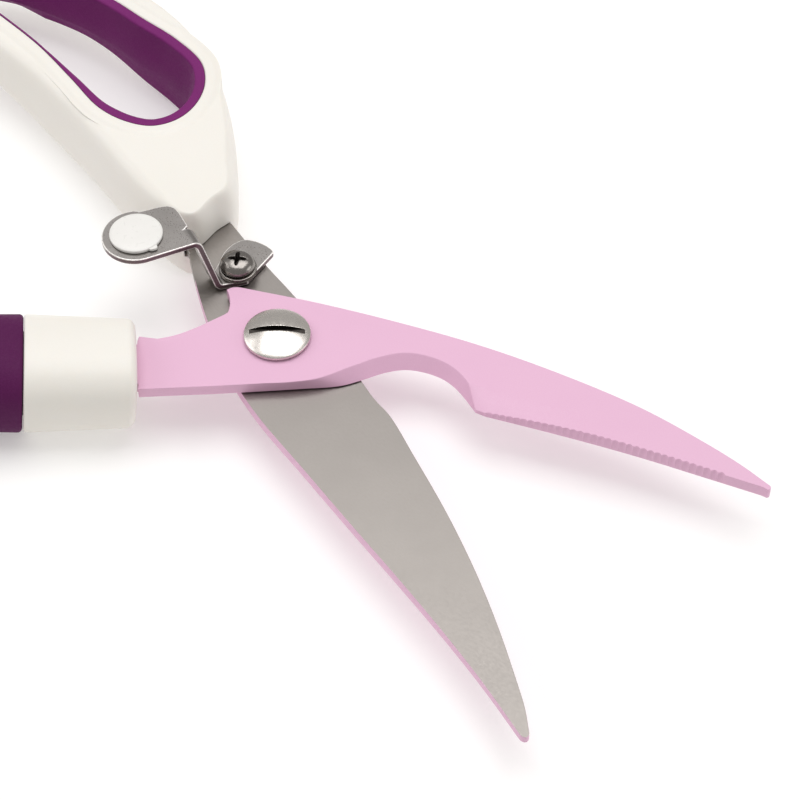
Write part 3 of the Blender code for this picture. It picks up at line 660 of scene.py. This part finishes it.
def upper_tang():
    """From the hook round the tang, which runs on into the lever's ferrule."""
    shoulder = smooth_line([
        (-12.4, 1.3), (-13.5, -0.3), (-16.0, -3.9), (-18.8, -7.2), (-21.8, -9.6)], 5)
    return [
        *shoulder, lever_point(-0.5, 7.3), lever_point(-0.25, 6.4), lever_point(-0.25, 5.2),
        lever_point(50.0, 5.2), lever_point(50.0, -5.2), lever_point(-1.25, -5.2),
        lever_point(-1.25, -6.6)]


def notch_lines():
    """The bone notch on the inner face and, set back by the grind, on the top.

    The top's line ends with the FACET_STEPS points of the facet at the notch's corner.
    """
    inner = [(-6.3, -16.7), (2.0, -12.5), (9.0, -8.9), (NOTCH_START, -5.2), (19.3, -2.1),
             (22.9, 1.5), (26.2, 3.6), (30.2, 4.4), (34.0, 4.1), (37.0, 2.9), (39.6, 1.2),
             (41.4, -0.2), NOTCH_CORNER]
    top = [(-6.3, -16.7), (2.0, -12.5), (7.3, -9.9), (NOTCH_START - 3.8, -6.7), (16.3, -2.0),
           (20.9, 2.9), (25.2, 5.9), (30.2, 6.8), (34.2, 6.3), (37.4, 4.9), GRIND_LINE[0]]
    corner = (NOTCH_CORNER[0], NOTCH_CORNER[1] + 0.15)
    facet = [mix(top[-1], corner, i / FACET_STEPS) for i in range(1, FACET_STEPS + 1)]
    return smooth_line(inner, 8), smooth_line(top, 8) + facet


def edge_height(x):
    """The cutting edge's line in plan, ahead of the notch."""
    share = (x - SERRATION_START) / (UPPER_LENGTH - SERRATION_START)
    return -1.6 + 1.9 * math.sin(min(share * 1.5, 1.0) * math.pi / 2.0)


def edge_drop(x):
    """How far the grind takes the top down along the edge: most of it at the notch's corner."""
    share = min(max((x - NOTCH_CORNER[0]) / CORNER_DROP_RUN, 0.0), 1.0)
    return CORNER_DROP * (1.0 - share) ** 1.6


def cutting_edge():
    """The cutting edge ahead of the notch and, above it, the scalloped grind line."""
    inner = [(43.9, -1.5)]
    top = [(43.9, -1.3)]
    pitch = (SERRATION_END - SERRATION_START) / SERRATION_COUNT
    for tooth in range(SERRATION_COUNT):
        for step in range(SERRATION_STEPS):
            x = SERRATION_START + pitch * (tooth + step / SERRATION_STEPS)
            depth = math.sin(math.pi * step / SERRATION_STEPS) ** 0.8
            depth *= 0.28 + 0.22 * tooth / SERRATION_COUNT
            inner.append((x, edge_height(x)))
            top.append((x, edge_height(x) + 0.15 + depth))
    for x in (SERRATION_END, UPPER_LENGTH - 6.0, UPPER_LENGTH - 3.5, UPPER_LENGTH - 1.6):
        inner.append((x, edge_height(x)))
        top.append((x, edge_height(x) + 0.15))
    return inner, top


def soft_edged(bottom, top, low, high, edge, drops=None):
    """Rings of a plate whose upper and lower outlines differ, with slightly rounded edges.

    Each point of the top may be lowered by its own drop.
    """
    drops = drops or [0.0] * len(top)
    rings = [level_ring(offset(bottom, -edge), low)]
    rings.append(level_ring(offset(bottom, -edge * 0.3), low + edge * 0.3))
    wall = [(high - low - drop, a, b) for drop, a, b in zip(drops, bottom, top)]
    rings.append([(*mix(a, b, edge / thick), low + edge) for thick, a, b in wall])
    rings.append([(*mix(a, b, 1.0 - edge / thick), low + thick - edge) for thick, a, b in wall])
    for inset in (0.3, 1.0):
        ring = offset(top, -edge * inset)
        lower = 0.3 * edge if inset < 1.0 else 0.0
        rings.append([(x, y, high - drop - lower) for (x, y), drop in zip(ring, drops)])
    return rings


def grind_face(bm, ring, notch_end, last):
    """Replaces the flat top by faces that meet on the line where the shallow grind begins.

    The ring's points run tip, back, tang, notch, edge: notch_end is the notch's point on the
    grind line, and last is the last point of the edge that the grind reaches.
    """
    top = max(bm.faces, key=lambda face: (len(face.verts), face.calc_center_median().z))
    bm.faces.remove(top)
    (x0, y0), (x1, y1) = GRIND_LINE
    start = notch_end + FACET_STEPS + 1
    line = {}
    for i in range(start, last + 1):
        x = ring[i].co.x
        share = (x - x0) / (x1 - x0)
        line[i] = bm.verts.new((x, y0 + (y1 - y0) * share, UPPER_TOP))
    bm.faces.new([ring[notch_end], *ring[notch_end + 1:start + 1], line[start]])
    for i in range(start, last):
        bm.faces.new([ring[i], ring[i + 1], line[i + 1], line[i]])
    past_tip = TIP_STEPS + 2
    turn = next(i for i in range(past_tip, len(ring)) if ring[i].co.x < line[last].co.x)
    bm.faces.new([*ring[last:], *ring[:turn], line[last]])
    bm.faces.new([*ring[turn - 1:notch_end + 1], *[line[i] for i in range(start, last + 1)]])
    bmesh.ops.recalc_face_normals(bm, faces=bm.faces)


def make_upper_blade(mats):
    """The coated upper blade, with its notch, grind, serrations, hook and tang."""
    tip = arc((UPPER_LENGTH - 0.7, 0.75), 0.7, -60.0, 60.0, TIP_STEPS)
    shared = tip + upper_back()[1:] + upper_tang()
    notch_inner, notch_top = notch_lines()
    edge_inner, edge_top = cutting_edge()
    bottom = shared + notch_inner + edge_inner
    top = shared + notch_top + edge_top
    notch_end = len(shared) + len(notch_top) - FACET_STEPS - 1
    drops = [0.0] * (notch_end + 1)
    drops += [CORNER_DROP * i / FACET_STEPS for i in range(1, FACET_STEPS + 1)]
    drops += [edge_drop(x) for x, _ in edge_top]
    bm = loft(soft_edged(bottom, top, UPPER_BOTTOM, UPPER_TOP, 0.14, drops))
    bm.verts.ensure_lookup_table()
    ring = bm.verts[-len(top):]
    last = max(i for i, (x, _) in enumerate(top) if i > notch_end and x < GRIND_END)
    grind_face(bm, ring, notch_end, last)
    blade = mesh_object("upper_blade_skin", bm, UPPER)
    cut(blade, cylinder((0.0, 0.0), BORE_RADIUS, -1.0, UPPER_TOP + 1.0), UPPER)
    finish_piece(blade, mats, "upper_half", "upper_blade", 25.0)


def lower_edge():
    """The lower blade's cutting edge, from the tip back to the tang."""
    return smooth_line([
        (LOWER_LENGTH - 0.6, 0.9), (97.5, 2.7), (91.6, 4.2), (79.5, 6.9), (66.4, 9.1),
        (52.5, 10.6), (37.6, 11.4), (26.5, 11.8), (20.9, 11.0), (4.0, 10.6), (-12.3, 8.6),
        (-22.0, 7.2), (-35.6, 5.9)], 12)


def lower_spine():
    """The lower blade's back, from the tang to the tip."""
    return smooth_line([
        (-31.4, -5.6), (-22.7, -7.8), (-12.6, -9.8), (2.0, -11.6), (14.2, -11.3), (31.0, -9.0),
        (47.4, -6.7), (63.0, -4.4), (78.1, -2.5), (90.0, -1.4), (LOWER_LENGTH - 1.2, -0.8)], 12)


def bevel_width(x):
    """How far the underside is ground back behind the cutting edge."""
    rise = min(max((x - 22.0) / 8.0, 0.0), 1.0)
    fall = min(max((LOWER_LENGTH - 1.0 - x) / 45.0, 0.0), 1.0)
    return LOWER_BEVEL * rise * fall ** 0.8


def make_lower_blade(steel, pink):
    """Bare on its inner face and tang, coated on its edges and outer face."""
    tang = [(-35.9, 5.5), (TANG_END, 5.5), (TANG_END, -5.5), (-31.4, -5.3)]
    tip = [(LOWER_LENGTH - 0.7, -0.72), (LOWER_LENGTH - 0.3, -0.5), (LOWER_LENGTH - 0.05, -0.15),
           (LOWER_LENGTH, 0.2), (LOWER_LENGTH - 0.2, 0.6)]
    edge = lower_edge()
    rest = tang + lower_spine() + tip
    top = edge + rest
    bottom = [(x, y - bevel_width(x)) for x, y in edge] + rest
    bm = loft(soft_edged(bottom, top, -BLADE_THICKNESS, 0.0, 0.12))
    for face in bm.faces:
        lowest = min(vert.co.z for vert in face.verts)
        bare = lowest > -0.05 or face.calc_center_median().x < -24.0
        face.material_index = 0 if bare else 1
    fall = (BLADE_THICKNESS - TIP_THICKNESS) / (LOWER_LENGTH - TAPER_START)
    for vert in bm.verts:
        lift = fall * max(vert.co.x - TAPER_START, 0.0)
        vert.co.z += lift * (-vert.co.z / BLADE_THICKNESS)
    blade = mesh_object("lower_blade_skin", bm, LOWER)
    bore = cylinder((0.0, 0.0), BORE_RADIUS, -BLADE_THICKNESS - 1.0, 1.0)
    cut(blade, bore, LOWER)
    finish_piece(blade, [steel, pink], "lower_half", "lower_blade")


def lever_axis():
    """The lever's centre line in plan."""
    route = [lever_point(0.0, 0.0), lever_point(FERRULE_LENGTH, 0.0), lever_point(46.0, 0.3),
             (-87.0, -43.4), (-108.0, -49.4), (-127.0, -52.4), (-146.0, -53.4)]
    return smooth_line(route, 16)


def axis_frame(axis, along):
    """The point this far along the axis, and the direction across it there."""
    travelled = 0.0
    for a, b in zip(axis, axis[1:]):
        step = math.dist(a, b)
        if travelled + step >= along or b == axis[-1]:
            centre = mix(a, b, (along - travelled) / step)
            return centre, ((a[1] - b[1]) / step, (b[0] - a[0]) / step)
        travelled += step


def section_size(along):
    """The lever's width and height at this distance along it."""
    share = max(0.0, along - FERRULE_LENGTH) / (LEVER_LENGTH - FERRULE_LENGTH)
    width = FERRULE_WIDTH - 2.2 * math.sin(share * math.pi) ** 2 - 1.5 * share
    height = HANDLE_HEIGHT - 2.0 * SLEEVE_PROUD - 2.0 * share ** 2
    taper = FERRULE_TAPER + (1.0 - FERRULE_TAPER) * min(along / FERRULE_LENGTH, 1.0)
    return width * taper, height * taper


def section_ring(axis, along, inset, count=112):
    """The lever's section, a rounded oblong that leans, set in by the inset."""
    centre, side = axis_frame(axis, along)
    width, height = section_size(along)
    ring = []
    for i in range(count):
        angle = 2.0 * math.pi * i / count
        wide = math.copysign(abs(math.cos(angle)) ** (2.0 / SECTION_POWER), math.cos(angle))
        tall = math.copysign(abs(math.sin(angle)) ** (2.0 / SECTION_POWER), math.sin(angle))
        u = wide * (width / 2.0 - inset)
        v = tall * (height / 2.0 - inset)
        lean = SKEW_SIDEWAYS * u - SKEW_UPWARDS * v
        x = centre[0] - side[0] * u + side[1] * lean
        ring.append((x, centre[1] - side[1] * u - side[0] * lean, v))
    return ring


def stations(start, end, count=24):
    """Even steps along the lever, both ends included."""
    return [start + (end - start) * i / count for i in range(count + 1)]


def make_ferrule(axis, mat):
    """The ferrule in front of the grip, with the core behind it and the tang's pocket."""
    rings = [section_ring(axis, s, inset) for s, inset in reversed(quarter(1.8, 10))]
    rings += [section_ring(axis, s, 0.0) for s in (5.0, 9.0, 13.0, 17.0, 21.0)]
    rings += [section_ring(axis, FERRULE_LENGTH - s, inset) for s, inset in quarter(0.5, 5)]
    neck = stations(FERRULE_LENGTH, CORE_LENGTH)
    rings += [section_ring(axis, s, CORE_INSET) for s in neck]
    ferrule = mesh_object("lever_ferrule", loft(rings), UPPER)
    outline = [lever_point(-4.0, 5.45), lever_point(60.0, 5.45),
               lever_point(60.0, -5.45), lever_point(-4.0, -5.45)]
    pocket = loft([level_ring(outline, UPPER_BOTTOM - POCKET_GAP),
                   level_ring(outline, UPPER_TOP + POCKET_GAP)])
    cut(ferrule, pocket, UPPER)
    finish_piece(ferrule, [mat], "upper_half", "lever_core", 50.0)


def make_sleeve(axis, mat):
    """The soft grip: a sleeve over the core with a rounded tail."""
    front = FERRULE_LENGTH + SLEEVE_GAP
    hollow = stations(front, CORE_LENGTH + 0.3)
    rings = [section_ring(axis, s, HOLLOW_INSET) for s in reversed(hollow)]
    rings += [section_ring(axis, front + s, inset) for s, inset in reversed(quarter(0.9, 8))]
    body = stations(front + 2.0, LEVER_LENGTH - SLEEVE_TAIL, 40)
    rings += [section_ring(axis, s, 0.0) for s in body]
    rings += [section_ring(axis, LEVER_LENGTH - s, inset * 0.98)
              for s, inset in quarter(SLEEVE_TAIL, 16)[1:]]
    sleeve = mesh_object("lever_grip", loft(rings), UPPER)
    finish_piece(sleeve, [mat], "upper_half", "lever_sleeve", 60.0)


def loop_outlines(steps):
    """Plans of the loop handle at mid-height and, set in by a mark's third value, at its top."""
    marks = [
        (-36.8, 7.2, 1.9), (-44.8, 11.6, 2.6), (-56.0, 16.0, 2.3), (-68.0, 19.1, 2.0),
        (-80.0, 20.3, 2.0), (-93.0, 19.0, 2.2), (-107.0, 14.4, 2.6), (-121.0, 7.2, 3.0),
        (-133.0, -2.2, 3.2), (-141.6, -12.5, 3.2), (-144.4, -22.2, 3.2), (-138.0, -29.2, 3.2),
        (-126.0, -29.6, 3.4), (-113.0, -26.0, 3.6), (-101.0, -21.9, 3.8), (-90.0, -18.6, 4.0),
        (-78.0, -15.9, 4.2), (-66.0, -13.9, 4.6), (-53.0, -12.2, 4.8), (-43.0, -10.4, 4.4),
        (-36.8, -8.0, 2.6), (-33.6, -5.7, 1.6), (-32.5, -2.8, 1.3), (-34.9, 2.2, 1.4)]
    outer = [(x, y) for x, y, _ in marks]
    inner = offset(outer, [-inset for _, _, inset in marks])
    return smooth_line(outer, steps, True), smooth_line(inner, steps, True)


def hole_outline(steps):
    """The finger loop's hole in plan."""
    return smooth_line([
        (-60.5, 3.2), (-61.3, 7.2), (-64.0, 11.4), (-68.6, 15.0), (-75.0, 16.9), (-84.6, 15.0),
        (-93.9, 11.3), (-103.0, 7.8), (-112.0, 3.2), (-121.0, -2.8), (-129.6, -10.6),
        (-133.8, -18.0), (-130.0, -22.2), (-121.0, -20.4), (-109.5, -16.5), (-95.9, -12.5),
        (-83.0, -10.2), (-71.5, -8.3), (-65.3, -5.1), (-61.4, -0.9)], steps, True)


def raised_ring(outline, z):
    """A ring of the loop, whose underside rises towards the rear."""
    ring = []
    for x, y in outline:
        share = min(max((LOOP_THIN_START - x) / LOOP_THIN_LENGTH, 0.0), 1.0)
        thin = 1.0 - LOOP_THIN_SHARE * share ** 2 * (3.0 - 2.0 * share)
        ring.append((x, y, z if z > 0.0 else z * thin))
    return ring


def make_loop(mat):
    """The loop handle: a rounded body and the lip around its hole, less hole and tang pocket."""
    outer, inner = loop_outlines(8)
    rings = []
    for step in range(-12, 13):
        share = math.sin(math.pi / 2.0 * step / 12.0)
        depth = 1.0 - (1.0 - abs(share) ** 2.6) ** (1.0 / 2.2)
        ring = [mix(a, b, depth) for a, b in zip(outer, inner)]
        rings.append(raised_ring(ring, share * BODY_HALF_HEIGHT))
    body = mesh_object("loop_shell", loft(rings, uneven=True), LOWER)
    hole = hole_outline(8)
    profile = [(RIM_WIDTH + 0.9, 0.45), (RIM_WIDTH + 0.35, 0.36), (RIM_WIDTH - 0.1, 0.2),
               (RIM_WIDTH - 0.5, 0.06), (RIM_WIDTH - 0.95, 0.0)]
    lip = [raised_ring(offset(hole, out), down - HALF_HEIGHT) for out, down in reversed(profile)]
    lip += [level_ring(offset(hole, out), HALF_HEIGHT - down) for out, down in profile]
    cut(body, loft(lip, uneven=True), LOWER, "UNION")
    flare = [(1.2, -1.0), (0.5, -0.01), (0.32, 0.06), (0.12, 0.22), (0.0, 0.5)]
    tool = [raised_ring(offset(hole, out), down - HALF_HEIGHT) for out, down in flare]
    tool += [level_ring(offset(hole, out), HALF_HEIGHT - down) for out, down in reversed(flare)]
    cut(body, loft(tool, uneven=True), LOWER)
    rear = TANG_END - 0.3
    slot = [(-20.0, 5.8), (rear, 5.8), (rear, -5.8), (-20.0, -5.8)]
    pocket = loft([level_ring(slot, -BLADE_THICKNESS - POCKET_GAP), level_ring(slot, POCKET_GAP)])
    cut(body, pocket, LOWER)
    finish_piece(body, [mat], "lower_half", "loop_body", 32.0)


def liner_wall(point):
    """Width of the liner's upper face: it narrows along the lever's side of the loop."""
    x, y = point
    near = min(max((-2.0 - y) / 5.0, 0.0), 1.0)
    back = min(max((-68.0 - x) / 26.0, 0.0), 1.0)
    return 2.3 - 1.8 * near * back


def make_liner(mat):
    """The loop's soft lining.

    Each ring of its wall is a share of the upper face's width, a width more and a height.
    """
    hole = hole_outline(8)
    widths = [liner_wall(point) for point in hole]
    height = HALF_HEIGHT - 0.2
    half = [(0.0, 0.03, height), (0.7, 0.0, height), (0.85, 0.0, height - 0.07),
            (0.95, 0.0, height - 0.25), (1.0, 0.0, height - 0.6), (0.5, 1.3, height - 3.2),
            (0.25, 2.4, height - 6.4), (0.0, 3.4, 0.0)]
    wall = half + [(share, extra, -z) for share, extra, z in reversed(half[:-1])]
    rings = []
    for share, extra, z in wall:
        inward = [-(share * width + extra) for width in widths]
        rings.append(raised_ring(offset(hole, inward), z))
    liner = mesh_object("loop_soft_liner", loft(rings, around=True), LOWER)
    finish_piece(liner, [mat], "lower_half", "loop_liner", 50.0)


def make_pivot_head(mat, dark):
    """The slotted pivot screw: a domed head on a shank that ends in the barrel nut."""
    low = UPPER_TOP + 0.3
    rim = low + 0.8
    shank_radius = 2.3
    shank_end = -2.9
    profile = []
    for step in range(15):
        share = step / 15.0
        profile.append((share * (HEAD_RADIUS - 0.15), rim + HEAD_DOME * (1.0 - share ** 2)))
    profile += [(HEAD_RADIUS - 0.15, rim), (HEAD_RADIUS - 0.04, rim - 0.08),
                (HEAD_RADIUS, rim - 0.2), (HEAD_RADIUS, low + 0.15), (HEAD_RADIUS - 0.15, low),
                (shank_radius, low), (shank_radius, shank_end), (0.0, shank_end)]
    head = mesh_object("pivot_screw_head", spun(profile, (0.0, 0.0)), LOWER)
    top = rim + HEAD_DOME
    turn = Matrix.Rotation(math.radians(SLOT_TURN), 4, "Z")
    slot = []
    for z in (top - 1.1, top + 1.0):
        half_width = 0.6 if z < top else 0.75
        reach = HEAD_RADIUS + 2.3
        corners = [(-reach, -half_width), (reach, -half_width),
                   (reach, half_width), (-reach, half_width)]
        slot.append([tuple(turn @ Vector((x, y, z))) for x, y in corners])
    # The slot's walls take the second material, painted shade.
    cut(head, loft(slot), LOWER, dark=True)
    bevel(head, 0.06, 40.0)
    finish_piece(head, [mat, dark], "lower_half", "pivot_screw", 50.0)


def make_nut(mat):
    """The blind barrel nut under the blades: its bore, its barrel, then its flange."""
    low = -SHEAR_Z
    bore = 2.6
    barrel = 3.7
    profile = [(0.0, low + 1.1), (bore, low + 1.1), (bore, UPPER_TOP - 0.3),
               (barrel, UPPER_TOP - 0.3), (barrel, low + 1.5), (5.7, low + 1.5),
               (5.9, low + 1.4), (6.0, low + 1.2), (6.0, low + 0.3), (5.9, low + 0.1),
               (5.7, low), (0.0, low)]
    nut = mesh_object("pivot_barrel_nut", spun(profile, (0.0, 0.0)), LOWER)
    finish_piece(nut, [mat], "lower_half", "pivot_nut", 50.0)


def latch_flat():
    """Lower flat of the latch, counter-clockwise from the strip: a lug with a finger."""
    finger = arc(LATCH_CENTRE, FINGER_REACH, 105.0, 143.0, 10)
    rounded_back = smooth_line(
        [finger[-1], (-28.75, 5.3), (-28.5, 3.0), (-27.1, 0.4), (-25.0, -1.6)], 4)
    front = [mix((-17.8, 1.6), (-22.1, 8.8), i / 4.0) for i in range(4)]
    return [
        (-18.8, STRIP_BASE), (-18.0, 0.4), *front, (-22.2, 9.0), (-22.5, 9.45), (-22.9, 9.72),
        *finger, *rounded_back[1:], (-18.8 - LATCH_STRIP_WIDTH, STRIP_BASE)]


def strip_route():
    """(y, z, shift) of the strip's mid-surface from the flat to the tab."""
    low = LATCH_LOW + LATCH_THICKNESS / 2.0
    high = TAB_BOTTOM + LATCH_THICKNESS / 2.0
    lean = math.radians(LATCH_STRIP_LEAN)
    radius = LATCH_BEND_RADIUS
    route = []
    for step in range(13):
        angle = lean * step / 12.0
        run = radius * math.sin(angle)
        route.append((STRIP_BASE - run, low + radius * (1.0 - math.cos(angle))))
    rise = high - low - 2.0 * radius * (1.0 - math.cos(lean))
    end = STRIP_BASE - 2.0 * radius * math.sin(lean) - rise / math.tan(lean)
    for step in range(13):
        angle = lean * (12 - step) / 12.0
        route.append((end + radius * math.sin(angle), high - radius * (1.0 - math.cos(angle))))
    return [(y, z, -STRIP_SHIFT * (z - low) / (high - low)) for y, z in route]


def paint_edges(plate):
    """Gives the sheared edges of the bent sheet its second material, a painted dark reflection.

    The broad faces are the level ones, those of the strip between its two flats, and the
    small ones in the bends, none of which faces sideways. All others are sheared edges.
    """
    side = LOWER.to_3x3() @ Vector((1.0, 0.0, 0.0))
    side.normalize()
    for face in plate.data.polygons:
        normal = Vector(face.normal)
        flat = abs(normal.z) > 0.7
        along_bend = abs(normal.dot(side)) < 0.12 and face.area < 0.00002
        rising = face.center.z * 1000.0 - SHEAR_Z
        in_bend = LATCH_LOW + LATCH_THICKNESS < rising < TAB_BOTTOM and abs(normal.dot(side)) < 0.5
        face.material_index = 0 if flat or in_bend or along_bend else 1


def make_latch(mats):
    """The latch: lug, strip and paddle as one bent surface, which is then given its thickness."""
    bm = bmesh.new()
    flat = latch_flat()
    rows = []
    for y, z, shift in strip_route():
        near = bm.verts.new((flat[0][0] + shift, y, z))
        rows.append((near, bm.verts.new((flat[-1][0] + shift, y, z))))
    between = [bm.verts.new((x, y, rows[0][0].co.z)) for x, y in flat[1:-1]]
    bm.faces.new([rows[0][0], *between, rows[0][1]])
    for a, b in zip(rows, rows[1:]):
        bm.faces.new((a[0], a[1], b[1], b[0]))
    near, far = rows[-1]
    edge = far.co.y + 1.0
    corner = [(far.co.x - 0.6, edge)]
    corner += smooth_line(
        [(-32.6, edge), (-34.4, edge - 0.35), (-35.6, edge - 1.5), (-36.6, -13.6)], 5)
    paddle = arc(BUTTON_CENTRE, TAB_RADIUS, 160.0, 354.0, 40)
    outer = [bm.verts.new((x, y, near.co.z)) for x, y in [*corner, *paddle]]
    bm.faces.new([far, *outer, near])
    bmesh.ops.recalc_face_normals(bm, faces=bm.faces)
    plate = mesh_object("latch_sheet", bm, LOWER)
    change(plate, [("SOLIDIFY", {
        "thickness": LATCH_THICKNESS * 0.001, "offset": 0.0, "use_even_offset": True})])
    cut(plate, cylinder(LATCH_CENTRE, LATCH_BORE_RADIUS, -1.0, 3.0), LOWER)
    bore = cylinder(BUTTON_CENTRE, BUTTON_BORE_RADIUS, TAB_BOTTOM - 1.0, TAB_TOP + 1.0)
    cut(plate, bore, LOWER)
    for mat in mats:
        plate.data.materials.append(mat)
    # The sheet's cut edges take the second material, a painted dark reflection.
    paint_edges(plate)
    # The rounded corners take the last material, a painted highlight.
    bevel(plate, 0.2, 40.0, len(mats) - 1)
    finish_piece(plate, mats, "latch", "latch_plate", 35.0)


def make_button(mat):
    """The thumb button: a low dome with a nib on its rim and a peg through the paddle."""
    low = TAB_TOP + 0.08
    height = 0.95
    peg = BUTTON_BORE_RADIUS - 0.3
    profile = []
    for step in range(12):
        share = step / 12.0 * 0.95
        profile.append((share * BUTTON_RADIUS, low + height - 0.18 * share ** 2))
    profile += [(BUTTON_RADIUS * 0.975, low + 0.74), (BUTTON_RADIUS * 0.993, low + 0.66),
                (BUTTON_RADIUS, low + 0.5), (BUTTON_RADIUS, low + 0.1), (BUTTON_RADIUS - 0.1, low),
                (peg, low), (peg, TAB_BOTTOM + 0.2), (0.0, TAB_BOTTOM + 0.2)]
    button = mesh_object("latch_button_cap", spun(profile, BUTTON_CENTRE), LOWER)
    nib = []
    for z in (low + 0.1, low + 0.62):
        outline = [(5.0, 0.2), (5.75, 0.9), (5.85, 1.9), (5.6, 2.3), (4.6, 2.5)]
        nib.append([(BUTTON_CENTRE[0] + x, BUTTON_CENTRE[1] + y, z) for x, y in outline])
    cut(button, loft(nib), LOWER, "UNION")
    finish_piece(button, [mat], "latch", "latch_button", 50.0)


def make_washer(mat):
    """The collar between the latch screw's head and the sheet."""
    low = LATCH_LOW + LATCH_THICKNESS + 0.1
    profile = [(LATCH_BORE_RADIUS, low + 1.0), (3.7, low + 1.0), (3.86, low + 0.94),
               (3.9, low + 0.8), (3.9, low + 0.15), (3.8, low), (LATCH_BORE_RADIUS, low)]
    rings = []
    for radius, z in profile:
        ring = arc(LATCH_CENTRE, radius, 0.0, 360.0 * 71 / 72, 71)
        rings.append(level_ring(ring, z))
    washer = mesh_object("latch_spacer", loft(rings, around=True), LOWER)
    finish_piece(washer, [mat], "lower_half", "latch_washer", 50.0)


def recess_outline(reach, waist):
    """A four-lobed cross in plan with hollow sides between the wings."""
    points = []
    for step in range(48):
        angle = 2.0 * math.pi * step / 48.0
        lobe = (0.5 + 0.5 * math.cos(4.0 * angle)) ** 1.6
        radius = waist + (reach - waist) * lobe
        turned = angle + math.radians(58.0)
        points.append((LATCH_CENTRE[0] + radius * math.cos(turned),
                       LATCH_CENTRE[1] + radius * math.sin(turned)))
    return points


def make_latch_screw(mat, dark):
    """The latch's pan-head screw, with its cross recess."""
    low = LATCH_LOW + LATCH_THICKNESS + 1.4
    top = low + 2.3
    radius = LATCH_HEAD_RADIUS
    shank_radius = 1.8
    shank_end = -2.2
    profile = [(0.0, top), (0.3 * radius, top - 0.04), (0.5 * radius, top - 0.14),
               (0.68 * radius, top - 0.34), (0.82 * radius, top - 0.64),
               (0.92 * radius, top - 1.0), (0.98 * radius, top - 1.4),
               (radius, top - 1.75), (radius, low + 0.25),
               (radius - 0.2, low + 0.02), (radius - 0.35, low - 0.06),
               (shank_radius, low - 0.06), (shank_radius, shank_end), (0.0, shank_end)]
    screw = mesh_object("latch_pan_screw", spun(profile, LATCH_CENTRE), LOWER)
    recess = [level_ring(recess_outline(0.9, 0.45), top - 1.9),
              level_ring(recess_outline(2.35, 0.8), top + 0.3)]
    # The recess's walls take the second material, painted shade.
    cut(screw, loft(recess), LOWER, dark=True)
    bevel(screw, 0.05, 45.0)
    finish_piece(screw, [mat, dark], "lower_half", "latch_screw", 50.0)


# ---------------------------------------------------------------- the whole

make_camera()
make_light()
make_floor(floor_white())
PINK = pink_coating()
STEEL = blade_steel()
NICKEL = nickel_plate()
SCREW = screw_steel()
DARK = painted_recess_shade()
IVORY = ivory_plastic()
AXIS = lever_axis()
make_upper_blade([PINK])
make_lower_blade(STEEL, PINK)
make_ferrule(AXIS, IVORY)
# The grip's copy of the rubber is darkened: painted shade.
make_sleeve(AXIS, purple_rubber("grip_rubber", 0.68))
make_loop(IVORY)
# The liner's copy is brightened: painted light on its upward-facing strip.
make_liner(purple_rubber("liner_rubber", 1.4))
make_pivot_head(NICKEL, DARK)
make_nut(NICKEL)
# The latch sheet: its steel, a painted dark reflection on its cut edges and a painted highlight on
# its rounded corners.
make_latch([latch_steel(), painted_edge_reflection(), painted_edge_highlight()])
make_button(button_plastic())
make_washer(SCREW)
make_latch_screw(SCREW, DARK)
